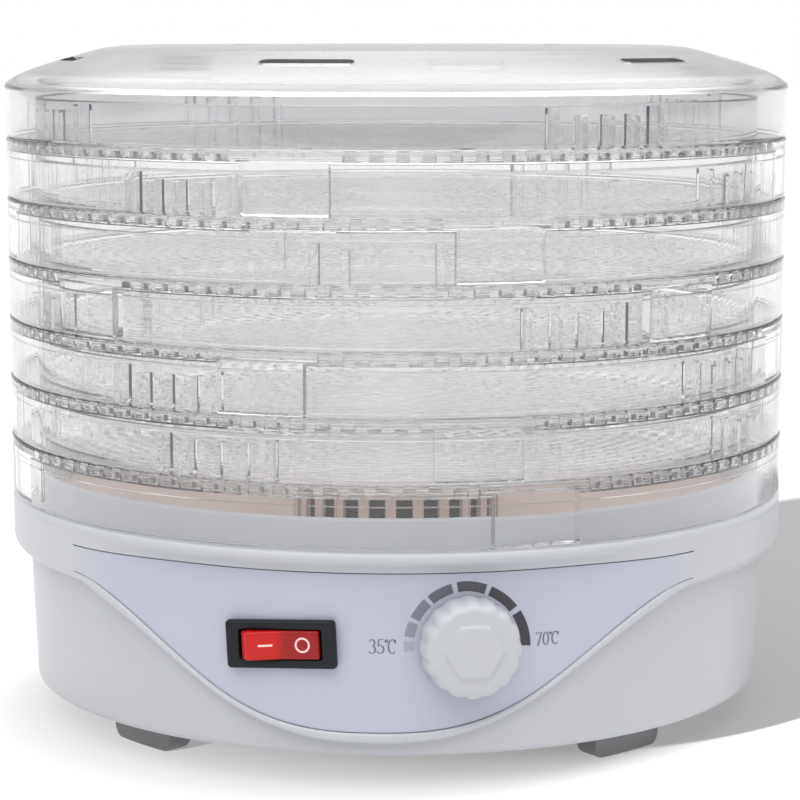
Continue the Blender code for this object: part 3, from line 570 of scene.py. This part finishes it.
# Strokes of each character in a box one unit high: (strokes, advance)
GLYPHS = {
    "3": ([ellipse(0.24, 0.75, 0.19, 0.23, 150, -70), ellipse(0.24, 0.27, 0.23, 0.26, 85, -150)], 0.58),
    "5": ([[(0.45, 0.98), (0.14, 0.98), (0.10, 0.54)], ellipse(0.23, 0.30, 0.25, 0.28, 125, -150)], 0.60),
    "7": ([[(0.04, 0.86), (0.06, 0.98), (0.48, 0.98), (0.18, 0.0)]], 0.58),
    "0": ([ellipse(0.26, 0.5, 0.21, 0.48, 90, 450, 28)], 0.58),
    "degree": ([ellipse(0.06, 0.88, 0.07, 0.08, 0, 360)], 0.17),
    "C": ([ellipse(0.30, 0.5, 0.27, 0.48, 50, 312, 24), [(0.50, 0.98), (0.50, 0.72)]], 0.60),
}


def ribbon(stroke, size, left, angle, height):
    """A stroke of print: thick where it runs upright and thin where it lies flat."""
    points = [Vector((x * size * 0.98 + left, y * size)) for x, y in stroke]
    sections = []
    for k, point in enumerate(points):
        along = points[min(k + 1, len(points) - 1)] - points[max(k - 1, 0)]
        along.normalize()
        half = 0.09 + 0.15 * abs(along.y) ** 1.5
        side = Vector((-along.y, along.x)) * half
        ends = ((point - side, 0.02), (point + side, 0.02), (point + side, 0.07), (point - side, 0.07))
        sections.append([on_label(p.x, p.y, out, angle, height) for p, out in ends])
    return skin("stroke", sections, around=False, caps=True)


def make_text(paint):
    for name, text, start_angle, low, size in (
        ("low_mark", ("3", "5", "degree", "C"), -0.75, 40.05, 4.1),
        ("high_mark", ("7", "0", "degree", "C"), 22.4, 40.7, 3.8),
    ):
        left = 0.0
        strokes = []
        for character in text:
            shapes, advance = GLYPHS[character]
            strokes += [ribbon(shape, size, left, start_angle, low) for shape in shapes]
            left += advance * size * 0.98
        piece(name, joined(name, strokes), paint["text_ink"], "base", sharp=60)


# ------------------------------------------------------------- switch and knob


def make_switch(paint):
    panel = switch_matrix()
    frame_w, frame_h, top = 32.2, 13.8, GAP + 1.9
    mouth_w, mouth_h = 24.4, 8.7
    barrel = rounded_rectangle(27.0, 12.0, 0.6)
    layers = [(barrel, -24.0), (barrel, GAP)]
    flank = ((0, GAP), (0, top - 0.9), (0.1, top - 0.45), (0.35, top - 0.12), (0.7, top))
    for inset, height in flank:
        rim = rounded_rectangle(frame_w - 2 * inset, frame_h - 2 * inset, 1.1 - 0.5 * inset)
        layers.append((rim, height))
    for inset, height in ((-0.45, top), (-0.12, top - 0.15), (0, top - 0.5), (0.1, -5.0)):
        layers.append((rounded_rectangle(mouth_w - 2 * inset, mouth_h - 2 * inset, 0.7), height))
    case = shifted(stacked("switch_bezel", layers), panel)
    piece("switch_bezel", case, paint["black"], "base", ("switch_case",), 35)
    make_rocker(paint, panel)


ROCKER_HALF, ROCKER_FOLD, ROCKER_LOW, ROCKER_HIGH = 11.4, 0.8, 2.3, 3.55
ROCKER_SLOPE = (ROCKER_HIGH - ROCKER_LOW) / (ROCKER_HALF - ROCKER_FOLD)


def on_rocker(x):
    """A place on one slope of the rocker's shallow V, turned to lie along it."""
    height = ROCKER_LOW + (abs(x) - ROCKER_FOLD) * ROCKER_SLOPE
    lean = math.copysign(math.atan(ROCKER_SLOPE), -x)
    return Matrix.Translation((x, 0.1, height)) @ Matrix.Rotation(lean, 4, "Y")


def make_rocker(paint, panel):
    """A shallow V seen from above, tipped with its right-hand end pressed in."""
    half, width, end = ROCKER_HALF, 8.1, 9.6
    end_z = ROCKER_LOW + (end - ROCKER_FOLD) * ROCKER_SLOPE
    outline = [(-half, 0.6), (-end, end_z), (-ROCKER_FOLD, ROCKER_LOW), (0, ROCKER_LOW - 0.05)]
    outline += [(ROCKER_FOLD, ROCKER_LOW), (half - 0.3, ROCKER_HIGH - 0.04), (half, 1.0)]
    outline += [(8.6, -3.0), (-8.6, -3.0)]
    sides = [[(x, y, z) for x, z in outline] for y in (-width / 2, width / 2)]
    lens = skin("rocker_lens", sides, around=False, caps=True)
    lens = softened(lens, 0.5, 4, 25)
    place = panel @ Matrix.Translation((0, 0, 0.6)) @ Matrix.Rotation(math.radians(8.0), 4, "Y")
    piece("rocker_lens", shifted(lens, place), paint["red"], "rocker", ("switch_rocker",), 35)
    dash = softened(box_between("on_dash", (-2.05, -0.3, -0.3), (2.05, 0.3, 0.05)), 0.04, 2)
    piece("on_dash", shifted(dash, place @ on_rocker(-4.2)), paint["mark"], "rocker")
    ring = turned("off_ring", [(1.65, -0.3), (2.2, -0.3), (2.2, 0.05), (1.65, 0.05)], 48)
    piece("off_ring", shifted(ring, place @ on_rocker(6.4)), paint["mark"], "rocker")


def lobed(radius, depth, lobes=16, steps=12):
    """A circle with shallow scallops all round."""
    points = []
    for k in range(lobes * steps):
        turn = 2 * math.pi * k / (lobes * steps)
        r = radius - depth * (1 - abs(math.cos(lobes * turn / 2)))
        points.append((r * math.cos(turn), r * math.sin(turn)))
    return points


def hexagon(apothem, count, softness=0.22):
    """A hexagon with generous corners, on the knob's own count of points."""
    points = []
    for k in range(count):
        turn = 2 * math.pi * k / count
        nearest = math.radians(60) * round((turn - math.radians(30)) / math.radians(60)) + math.radians(30)
        r = apothem / math.cos(turn - nearest)
        r = r * (1 - softness) + apothem * 1.06 * softness
        points.append((r * math.cos(turn), r * math.sin(turn)))
    return points


def make_knob(paint):
    panel, _ = panel_matrix("knob_turn")
    rings = ((13.8, 0.4, 0.8), (14.2, 0.6, 1.3), (14.2, 0.6, 3.4), (14.05, 0.6, 6.2), (13.8, 0.6, 8.4))
    rings += ((13.4, 0.55, 9.4), (12.8, 0.45, 10.2), (12.2, 0.4, 10.65))
    rings += ((11.4, 0.3, 10.85), (9.9, 0.0, 10.85))
    layers = [(lobed(radius, depth), height) for radius, depth, height in rings]
    count = len(layers[0][0])
    bore = ((2.3, 9.3), (2.3, 4.4), (8.0, 4.4), (8.0, 0.8))
    inner = [(disc(radius, count), height) for radius, height in bore]
    boss = [(hexagon(7.7, count), 10.87), (hexagon(7.45, count), 11.05), (hexagon(7.25, count), 11.45),
            (hexagon(6.95, count), 11.65), (hexagon(6.4, count), 11.7)]
    body = stacked("knob_cap", inner + layers + boss)
    piece("knob_cap", shifted(body, panel), paint["housing"], "knob", ("control_knob",), 50)


# --------------------------------------------------------------- trays and lid


EDGE = 0.012


def tray_features():
    """(middle, half width, kind) of each feature in one quarter of a tray."""
    features = []
    for k, top in zip(range(-2, 3), RIB_TOPS):
        features.append(((RIB_PITCH * k) % 90, RIB_HALF, ("rib", top)))
    features.append((45.0, PAD_HALF, ("pad", PAD_R)))
    for k in range(26):
        middle = DASH_PITCH * (k + 0.5)
        if abs(middle - 45) > PAD_HALF + DASH_HALF + 0.1:
            features.append((middle, DASH_HALF, ("dash", 0)))
    return features


def tray_section(angle, features):
    """The tray's wall, ledge and skirt at one angle: a closed outline of (radius, height)."""
    local = angle % 90
    found = {kind[0]: kind[1] for middle, half, kind in features
             if abs((local - middle + 45) % 90 - 45) < half}
    rim = [(WALL_INNER_R, RIM_Z - 0.9)] + arc(WALL_INNER_R + 0.6, RIM_Z - 0.6, 0.6, 180, 90, 3)
    rim += arc(WALL_R - 0.6, RIM_Z - 0.6, 0.6, 90, 0, 3) + [(WALL_R, RIM_Z - 0.8)]
    if "rib" in found:
        top = found["rib"]
        rib = [(WALL_R, top), (RIB_R - 0.4, top), (RIB_R, top - 0.45)]
        rib += [(RIB_R + 0.05, 0.0), (RIB_R + 0.1, 0.0)]
    else:
        rib = [(WALL_R, 9.3), (WALL_R, 6.0), (WALL_R, 0.5), (WALL_R + 0.4, 0.02), (RIB_R + 0.1, 0.0)]
    edge = [(OUTER_R - 2.2, 0.0), (OUTER_R - 1.0, 0.0)] + arc(OUTER_R - 0.8, -0.8, 0.8, 90, 0, 4)
    foot = -TRAY_PITCH + GAP
    inner, step_r = OUTER_R - 1.5, OUTER_R - 0.12
    skirt = [(OUTER_R, -1.0), (OUTER_R, -5.45), (OUTER_R, -5.6), (step_r, -5.8), (step_r, -5.95)]
    skirt += [(step_r, foot + 0.8), (step_r, foot + 0.6), (step_r - 0.2, foot + 0.15), (step_r - 0.5, foot)]
    skirt += [(inner + 0.25, foot), (inner, foot + 0.3)]
    if "pad" in found:
        back = [(PAD_R + 0.3, foot + 0.45), (PAD_R, foot + 0.8), (PAD_R, -3.35), (PAD_R - 0.05, -3.3)]
        under = [(PAD_R - 0.1, -3.3), (115.0, -3.3), (114.9, -3.3)]
    else:
        back = [(inner, foot + 0.5), (inner, -4.0), (inner, -3.8), (inner - 0.5, -3.3)]
        depth = -1.2 if "dash" in found else -3.3
        under = [(inner - 0.6, depth), (117.4, depth), (117.3, -3.3)]
    lip = [(110.2, -3.3), (110.0, -3.1), (110.0, -2.8), (110.2, -2.6)]
    lip += [(WALL_INNER_R, -2.6), (WALL_INNER_R, -2.4)]
    return [polar(r, angle, z) for r, z in rim + rib + edge + skirt + back + under + lip]


def tray_angles(features):
    edges = set()
    for quarter in range(4):
        for middle, half, _ in features:
            for sign in (-1, 1):
                for side in (-EDGE, EDGE):
                    edges.add(round((90 * quarter + middle + sign * half + side) % 360, 4))
    steps = sorted(edges)
    angles = []
    for start, end in zip(steps, steps[1:] + [steps[0] + 360]):
        count = max(1, math.ceil((end - start) / 1.9))
        angles += [start + (end - start) * k / count for k in range(count)]
    return angles


def pierced(name, radii, columns, is_open, low, high):
    """A flat disc on a polar grid, with the cells for which is_open is true left out."""
    rings = len(radii)
    points = [polar(r, 360 * j / columns, z) for z in (low, high) for r in radii for j in range(columns)]

    def at(level, i, j):
        return (level * rings + i) * columns + j % columns

    faces = [tuple(at(level, 0, j) for j in range(columns)) for level in (0, 1)]
    solid = [[not is_open(i, j) for j in range(columns)] for i in range(rings - 1)]
    for i in range(rings - 1):
        for j in range(columns):
            if not solid[i][j]:
                continue
            cell = ((i, j), (i, j + 1), (i + 1, j + 1), (i + 1, j))
            for level in (0, 1):
                faces.append(tuple(at(level, *corner) for corner in cell))
            for step in (1, -1):
                if not solid[i][(j + step) % columns]:
                    k = j + (step > 0)
                    faces.append((at(0, i, k), at(0, i + 1, k), at(1, i + 1, k), at(1, i, k)))
            if i + 1 == rings - 1 or not solid[i + 1][j]:
                faces.append((at(0, i + 1, j), at(0, i + 1, j + 1), at(1, i + 1, j + 1), at(1, i + 1, j)))
            if i > 0 and not solid[i - 1][j]:
                faces.append((at(0, i, j), at(0, i, j + 1), at(1, i, j + 1), at(1, i, j)))
    return to_mesh(name, points, faces)


def floor_mesh():
    """Rings of short slots, staggered from ring to ring like brickwork."""
    columns, first, last, count = 240, 12.0, 108.4, 21
    pitch = (last - first) / count
    bar = 1.9
    radii = [first]
    for k in range(count):
        radii += [first + pitch * k + bar, first + pitch * (k + 1)]
    radii.append(WALL_INNER_R - GAP)
    periods = []
    for k in range(count):
        cell = 2 * math.pi * (first + pitch * (k + 0.5)) / columns
        wanted = 10.0 / cell
        periods.append(min((5, 6, 8, 10, 12, 15, 20, 24, 30), key=lambda value: abs(value - wanted)))

    def is_open(i, j):
        if i % 2 == 0 or i >= 2 * count:
            return False
        ring = i // 2
        period = periods[ring]
        bridge = max(1, round(0.26 * period))
        offset = period // 2 if ring % 2 else 0
        return (j + offset) % period >= bridge

    return pierced("tray_mesh", radii, columns, is_open, -2.3, -0.5)


def make_trays(paint):
    features = tray_features()
    ring = skin("tray_ring", [tray_section(angle, features) for angle in tray_angles(features)])
    floor = floor_mesh()
    for number, turn in TRAY_TURNS.items():
        body = f"tray_{number}"
        level = node_box(body)[0].z + TRAY_PITCH - GAP
        place = Matrix.Translation((0, 0, level * MM)) @ Matrix.Rotation(math.radians(turn), 4, "Z")
        piece(f"{body}_ring", ring, paint["clear"], body, (body,), 35, place)
        piece(f"{body}_mesh", floor, paint["mesh"], body, (f"{body}_floor",), 35, place)


def capsule(radius, middle, length, width, steps=8):
    """A slot with round ends along a circle about Z."""
    half = (length - width) / 2
    sweep = math.degrees(half / radius)
    points = []
    for end in (1, -1):
        centre = middle + end * sweep
        for k in range(steps + 1):
            turn = math.radians(-90 + 180 * k / steps) * end
            across = width / 2 * math.sin(turn) * end
            along = width / 2 * math.cos(turn)
            r = radius + across * end
            x, y, _ = polar(r, centre + end * math.degrees(along / radius), 0)
            points.append((x, y))
        for k in range(1, steps):
            r = radius + end * width / 2
            x, y, _ = polar(r, centre - end * 2 * sweep * k / steps, 0)
            points.append((x, y))
    return points


def make_lid(paint):
    low, high = node_box("lid")
    edge = 196.8
    thick = 1.5
    outside = [(OUTER_R, low.z + 0.5), (OUTER_R, low.z + 0.8), (OUTER_R, edge - 1.7), (OUTER_R, edge - 1.4)]
    outside += arc(OUTER_R - 1.6, edge - 1.4, 1.6, 12, 66, 4)
    dome = [(119.6, 198.2), (116, 199.95), (112, 201.35), (107, 202.95), (102, 204.3), (98, 205.45)]
    dome += [(94.5, 206.45), (91.5, 207.15), (86, 207.75)]
    dome += [(80, high.z), (60, high.z), (30, high.z), (0, high.z)]
    under = [(max(r - 0.45, 0), z - thick) for r, z in reversed(dome)]
    inside = [(OUTER_R - thick, edge - z) for z in (2.2, 2.5)]
    inside += [(OUTER_R - thick, low.z + z) for z in (0.6, 0.3)]
    foot = [(OUTER_R - thick + 0.3, low.z), (OUTER_R - 0.4, low.z)]
    lid = turned("lid_dome", outside + dome + under + inside + foot, 240)
    vents = []
    for k in range(6):
        for radius, length, width, turn in ((103.5, 27.5, 4.0, -11.0), (50.0, 22.5, 3.5, 19.0)):
            outline = capsule(radius, turn + 60 * k, length, width)
            vents.append(stacked("vent", [(outline, 190), (outline, 215)]))
    lid = combined(lid, joined("vents", vents))
    piece("lid_dome", lid, paint["lid"], "lid", ("lid",), 30)


# --------------------------------------------------------------- deck and feet


def make_deck(paint):
    rim, slope_low, slope_high = 65.5, 36.5, 106.5
    top = [(113.0, rim - 0.4), (112.6, rim), (107.6, rim), (slope_high, rim - 0.25)]
    for share in (0.25, 0.5, 0.75):
        r = slope_high + (slope_low - slope_high) * share
        z = rim + (52.0 - rim) * share
        top += [(r + 1.6, z + 0.31), (r + 0.9, z + 0.65), (r - 0.9, z + 0.3), (r - 1.6, z - 0.31)]
    top += [(slope_low, 52.0), (30.6, 52.0), (30.0, 51.4)]
    throat = [(30.0, 40.5), (31.6, 40.5), (31.6, 50.0)]
    under = [(slope_low, 50.0), (105.5, 63.5), (113.0, 63.5)]
    deck = turned("deck_plate", top + throat + under)
    posts = []
    bores = []
    for angle in CORNERS.values():
        x, y, _ = polar(78, angle, 0)
        post = [(x + px, y + py) for px, py in disc(4.4, 32)]
        bore = [(x + px, y + py) for px, py in disc(2.2, 24)]
        posts.append(stacked("post", [(post, 12.7), (post, 59.2)]))
        bores.append(stacked("bore", [(bore, 10), (bore, 24)]))
    deck = combined(deck, joined("posts", posts), "UNION")
    deck = combined(deck, joined("bores", bores))
    piece("deck_plate", deck, paint["deck"], "base", ("air_deck",), 32)


def make_cage(paint):
    low, high = node_box("vent_cage")
    r, wall, z = 33.0, 1.8, high.z
    profile = [(r + 4, low.z), (r + 4, low.z + 1.2), (r + 3.6, low.z + 1.6)]
    profile += [(r + 0.5, low.z + 1.6), (r, low.z + 2.1)]
    profile += arc(r - 1.6, z - 1.6, 1.6, 0, 90, 6)
    profile += [(24, z), (23.2, z - 0.5), (22, z - 0.5), (21.2, z)]
    profile += [(0, z), (0, z - wall), (r - wall, z - wall), (r - wall, low.z)]
    cage = turned("cage_cap", profile, 144)
    slots = []
    for k in range(24):
        slot = rounded_rectangle(5.2, 13.5, 0.5, 2)
        cutter = stacked("slot", [(slot, r - 4), (slot, r + 2)])
        upright = Matrix.Rotation(math.radians(90), 4, "X")
        spin = Matrix.Rotation(2 * math.pi * (k + 0.5) / 24 + math.pi / 2, 4, "Z")
        slots.append(shifted(cutter, spin @ Matrix.Translation((0, 0, 62.75)) @ upright))
    cage = combined(cage, joined("slots", slots))
    piece("cage_cap", cage, paint["deck"], "base", ("vent_cage",), 32)


def foot_section(share, half_angle, height):
    """A foot's outline across the ring; its sole turns up in a round at each end."""
    angle = half_angle * share
    run = 99.0 * math.radians(half_angle)
    into_end = max(0.0, abs(share) * run - (run - 3.0)) / 3.0
    low = 3.0 * (1 - math.sqrt(max(1 - into_end**2, 0)))
    inner, outer, soft = 94.5, 103.5, 0.9
    rows = [(inner, height), (inner, low + soft), (inner + 0.26, low + 0.26), (inner + soft, low)]
    rows += [(outer - soft, low), (outer - 0.26, low + 0.26), (outer, low + soft), (outer, height)]
    return [polar(r, angle, z) for r, z in rows]


def make_feet(paint):
    shares = [-1, -0.985, -0.95, -0.9, -0.84, -0.77, -0.5, 0, 0.5, 0.77, 0.84, 0.9, 0.95, 0.985, 1]
    block = skin("foot_block", [foot_section(share, 7.5, 9.9) for share in shares], around=False, caps=True)
    x, y, _ = polar(99, 0, 0)
    peg = stacked("peg", [([(x + px, y + py) for px, py in disc(2.5, 24)], z) for z in (8.5, 14.5)])
    block = combined(block, peg, "UNION")
    shank = [(0, 22), (1.5, 21.5), (1.9, 20.5), (1.9, 9.9), (3.6, 9.9), (3.6, 8.7)]
    shank += [(3.3, 8.2), (2.4, 7.95), (0, 7.9)]
    screw = turned("screw", shank, 40)
    cross = [box_between("cross", (-a, -b, 7), (a, b, 9.1)) for a, b in ((2.0, 0.35), (0.35, 2.0))]
    for bar in cross:
        screw = combined(screw, bar)
    for name, angle in CORNERS.items():
        turn = Matrix.Rotation(math.radians(angle), 4, "Z")
        piece(f"sole_{name}", block, paint["feet"], "base", (f"foot_{name}",), 40, turn)
        spot = Matrix.Translation(Vector(polar(78, angle, 0)) * MM)
        stands_for = (f"cover_screw_{name}",)
        piece(f"screw_{name}", screw, paint["steel"], "base", stands_for, 35, spot @ turn)


def make_bottom(paint):
    low, high = node_box("bottom_cover")[0].z, 12.4
    r = 112.6
    profile = [(r, low + 0.4), (r, high), (0, high), (0, low)]
    for ring in (30.0, 68.0, 90.0):
        profile += [(ring - 1.4, low), (ring - 0.9, low + 0.6), (ring + 0.9, low + 0.6), (ring + 1.4, low)]
    profile.append((r - 0.4, low))
    plate = turned("intake_plate", profile)
    cutters = []
    for k in range(12):
        for radius in (43.2, 56.8):
            turn = 22.5 + 30 * k
            outline = rounded_rectangle(11.0, math.radians(6.5) * radius, 1.2, 4)
            slot = stacked("slot", [(outline, 8), (outline, 14)])
            spin = Matrix.Rotation(math.radians(turn), 4, "Z")
            cutters.append(shifted(slot, spin @ Matrix.Translation((radius, 0, 0))))
    for angle in CORNERS.values():
        for radius, hole in ((78, 2.4), (99, 2.8)):
            x, y, _ = polar(radius, angle, 0)
            outline = [(x + px, y + py) for px, py in disc(hole, 24)]
            cutters.append(stacked("hole", [(outline, 8), (outline, 14)]))
    plate = combined(plate, joined("holes", cutters))
    posts, bores = [], []
    for x in (-19, 19):
        post = [(x + px, py) for px, py in disc(3.4, 32)]
        bore = [(x + px, py) for px, py in disc(1.6, 24)]
        posts.append(stacked("post", [(post, 11.0), (post, 17.7)]))
        bores.append(stacked("bore", [(bore, 13.0), (bore, 20)]))
    plate = combined(combined(plate, joined("posts", posts), "UNION"), joined("bores", bores))
    piece("intake_plate", plate, paint["cover"], "base", ("bottom_cover",), 32)


# --------------------------------------------------------------- fan and heater


def make_fan(paint):
    low, high = (corner.z for corner in node_box("fan_impeller"))
    hub = [(1.8, low), (6.6, low), (7.5, low + 0.8), (7.5, high - 1.4)]
    hub += [(6.4, high - 0.3), (5.4, high), (1.8, high)]
    fan = turned("fan_blades", hub, 64)
    blades = []
    for k in range(7):
        sections = []
        for j in range(9):
            share = j / 8
            radius = 6.6 + (26.9 - 6.6) * share
            pitch = math.radians(42 - 16 * share)
            chord = 5.4 + 1.9 * math.sin(math.pi * min(share * 1.1, 1))
            row = []
            for side in (1, -1):
                for i in range(7):
                    u = (i / 3 - 1) * side
                    camber = 0.9 * (1 - u * u) + side * 0.5 * math.sqrt(max(1 - u**4, 0.04))
                    along = chord * u * math.cos(pitch) - camber * math.sin(pitch)
                    rise = chord * u * math.sin(pitch) + camber * math.cos(pitch)
                    turn = 360 * k / 7 + math.degrees(along / radius) * 0.98 + 9 * share
                    row.append(polar(radius, turn, (low + high) / 2 + rise * 0.92))
            sections.append(row)
        blades.append(skin("blade", sections, around=False, caps=True))
    fan = combined(fan, joined("blades", blades), "UNION")
    piece("fan_blades", fan, paint["black"], "fan", ("fan_impeller",), 35)


def wire(name, points, radius, paint, stands_for=()):
    """A round wire along a row of points."""
    curve = bpy.data.curves.new(name, "CURVE")
    curve.dimensions = "3D"
    curve.bevel_depth = radius * MM
    curve.bevel_resolution = 1
    curve.use_fill_caps = True
    spline = curve.splines.new("POLY")
    spline.points.add(len(points) - 1)
    for target, point in zip(spline.points, points):
        target.co = (*(Vector(point) * MM), 1)
    curve.materials.append(paint)
    thing = bpy.data.objects.new(name, curve)
    bpy.context.scene.collection.objects.link(thing)
    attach(thing, "base")
    if stands_for:
        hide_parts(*stands_for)


def make_heater_coil(paint):
    """Resistance wire wound into a tight helix, which lies in a spiral on the mica cards."""
    height = (node_box("heater_coil")[0].z + node_box("heater_coil")[1].z) / 2
    turns, first_r, last_r = 1.75, 9.0, 25.0
    coil_r, windings, steps = 1.12, 96, 10
    points = []
    for k in range(windings * steps + 1):
        share = k / (windings * steps)
        radius = math.sqrt(share * (last_r**2 - first_r**2) + first_r**2)
        around = 2 * math.pi * turns * (radius - first_r) / (last_r - first_r)
        wind = 2 * math.pi * k / steps
        r = radius + coil_r * math.cos(wind)
        points.append((r * math.cos(around), r * math.sin(around), height + coil_r * math.sin(wind)))
    wire("heater_helix", points, 0.3, paint["nichrome"], ("heater_coil",))


def make_dark_slot_screen(paint):
    """A black wire wound so close behind the cage's slots that it fills them as a dark screen: painted shade for
    the inside of the cage.
    """
    radius, low, high, turns, steps = 30.55, 56.2, 69.6, 13, 60
    points = []
    for k in range(turns * steps + 1):
        x, y, _ = polar(radius, 360 * k / steps, 0)
        points.append((x, y, low + (high - low) * k / (turns * steps)))
    wire("painted_shade_wire", points, 0.44, paint["black"])


def paint_frame_nodes(paint):
    """The CAD nodes that stay in sight take the finish of their slot in the record."""
    slots = {part["node"]: part["material_slot"] for part in frame["record"]["subparts"]}
    for name, thing in NODES.items():
        thing.data.materials.clear()
        thing.data.materials.append(paint[slots[name]])
        thing.data.shade_smooth()
        thing.data.set_sharp_from_angle(angle=math.radians(35))


# ------------------------------------------------------ stage, light and camera


def make_floor():
    corners = [(-6000, -4000, 0), (6000, -4000, 0), (6000, 9000, 0), (-6000, 9000, 0)]
    mesh = to_mesh("floor", corners, [(0, 1, 2, 3)])
    finish = {"Specular_IOR_Level": 0.0, "Emission_Color": (1.0, 1.0, 1.0, 1.0), "Emission_Strength": 0.335}
    paper = moulded("floor_paper", (0.10, 0.10, 0.10), 0.9, 0.004, 40.0, 0.001, **finish)
    mesh.materials.append(paper)
    floor = bpy.data.objects.new("floor", mesh)
    bpy.context.scene.collection.objects.link(floor)
    return floor


def make_flag():
    """A disc beside the stage that keeps the low lamp from shining in under the base."""
    height = 150.0
    reach = height / math.tan(math.radians(FLOOR_LAMP_ELEVATION))
    x, y, _ = polar(reach, FLOOR_LAMP_AZIMUTH, 0)
    rim = [(x + px, y + py, height) for px, py in disc(112)]
    flag = bpy.data.objects.new("flag", to_mesh("flag", rim, [range(len(rim))]))
    bpy.context.scene.collection.objects.link(flag)
    for seen_by in ("camera", "diffuse", "glossy", "transmission"):
        setattr(flag, f"visible_{seen_by}", False)
    flag.data.materials.append(moulded("flag_cloth", (0.02, 0.02, 0.02), 0.9))


def make_world():
    """Soft light that is brighter overhead and dimmer at the sides. The camera itself sees white."""
    world = bpy.data.worlds.new("studio")
    bpy.context.scene.world = world
    world.use_nodes = True
    tree = world.node_tree
    coords = tree.nodes.new("ShaderNodeTexCoord")
    parts = tree.nodes.new("ShaderNodeSeparateXYZ")
    tree.links.new(coords.outputs["Generated"], parts.inputs[0])

    def ranged(value, low, high, start, end):
        ramp = tree.nodes.new("ShaderNodeMapRange")
        ramp.interpolation_type = "SMOOTHSTEP"
        for index, number in enumerate((low, high, start, end), start=1):
            ramp.inputs[index].default_value = number
        tree.links.new(value, ramp.inputs["Value"])
        return ramp.outputs["Result"]

    def maths(operation, first, second):
        made = tree.nodes.new("ShaderNodeMath")
        made.operation = operation
        for index, value in enumerate((first, second)):
            if isinstance(value, (int, float)):
                made.inputs[index].default_value = value
            else:
                tree.links.new(value, made.inputs[index])
        return made.outputs[0]

    overhead = ranged(parts.outputs["Z"], 0.35, 0.85, 0.46, 2.3)
    sides = ranged(maths("ABSOLUTE", parts.outputs["X"], 0), 0.45, 0.95, 0.0, 0.10)
    behind = ranged(parts.outputs["Y"], 0.2, 0.8, 0.0, 0.28)
    light = maths("SUBTRACT", maths("ADD", overhead, behind), sides)
    path = tree.nodes.new("ShaderNodeLightPath")
    seen = maths("MAXIMUM", light, path.outputs["Is Camera Ray"])
    tree.links.new(seen, tree.nodes["Background"].inputs["Strength"])
    tree.nodes["Background"].inputs["Color"].default_value = (1.0, 1.0, 1.0, 1.0)


def make_lamps(floor):
    """A lamp at the front left whose only work is the floor's shadow, and a soft key for the object."""
    receivers = bpy.data.collections.new("floor_light")
    receivers.objects.link(floor)
    for name, strength, size, elevation, azimuth, group in (
        ("floor_key", 118.0, 1.5, FLOOR_LAMP_ELEVATION, FLOOR_LAMP_AZIMUTH, receivers),
        ("soft_key", 0.35, 40.0, 50.0, -20.0, None),
    ):
        lamp = bpy.data.lights.new(name, "SUN")
        lamp.energy = strength
        lamp.angle = math.radians(size)
        thing = bpy.data.objects.new(name, lamp)
        bpy.context.scene.collection.objects.link(thing)
        thing.rotation_euler = (math.radians(90 - elevation), 0, math.radians(azimuth))
        if group:
            thing.light_linking.receiver_collection = group


def make_camera():
    """The view: three degrees to the right of the front, from a little above the lid."""
    radius = OUTER_R
    distance, height = 6.681 * radius, 1.157 * radius + 70
    azimuth, pitch, focal_share = math.radians(3.0), math.radians(8.136), 3.2117
    data = bpy.data.cameras.new("camera")
    data.sensor_width = 36.0
    data.lens = 36.0 * focal_share
    data.shift_x = 0.00475
    data.clip_start, data.clip_end = 0.05, 60
    camera = bpy.data.objects.new("camera", data)
    bpy.context.scene.collection.objects.link(camera)
    spot = Vector((distance * math.sin(azimuth), -distance * math.cos(azimuth), height))
    camera.location = spot * MM
    camera.rotation_euler = (math.radians(90) - pitch, 0, azimuth)
    bpy.context.scene.camera = camera


def set_light_paths():
    """Clear walls stand many deep, so light needs many passes through them."""
    scene = bpy.context.scene
    scene.view_settings.view_transform = "Standard"
    scene.cycles.max_bounces = 24
    scene.cycles.transmission_bounces = 24
    scene.cycles.transparent_max_bounces = 48
    scene.cycles.glossy_bounces = 4
    scene.cycles.diffuse_bounces = 3
    scene.cycles.caustics_reflective = False


def main():
    paint = make_materials()
    make_camera()
    set_light_paths()
    make_world()
    make_lamps(make_floor())
    make_flag()
    paint_frame_nodes(paint)
    make_base(paint)
    make_label(paint)
    make_scale()
    make_text(paint)
    make_switch(paint)
    make_knob(paint)
    make_deck(paint)
    make_cage(paint)
    make_feet(paint)
    make_bottom(paint)
    make_fan(paint)
    make_heater_coil(paint)
    # dark wire screen behind the cage's slots: painted shade
    make_dark_slot_screen(paint)
    make_trays(paint)
    make_lid(paint)


main()
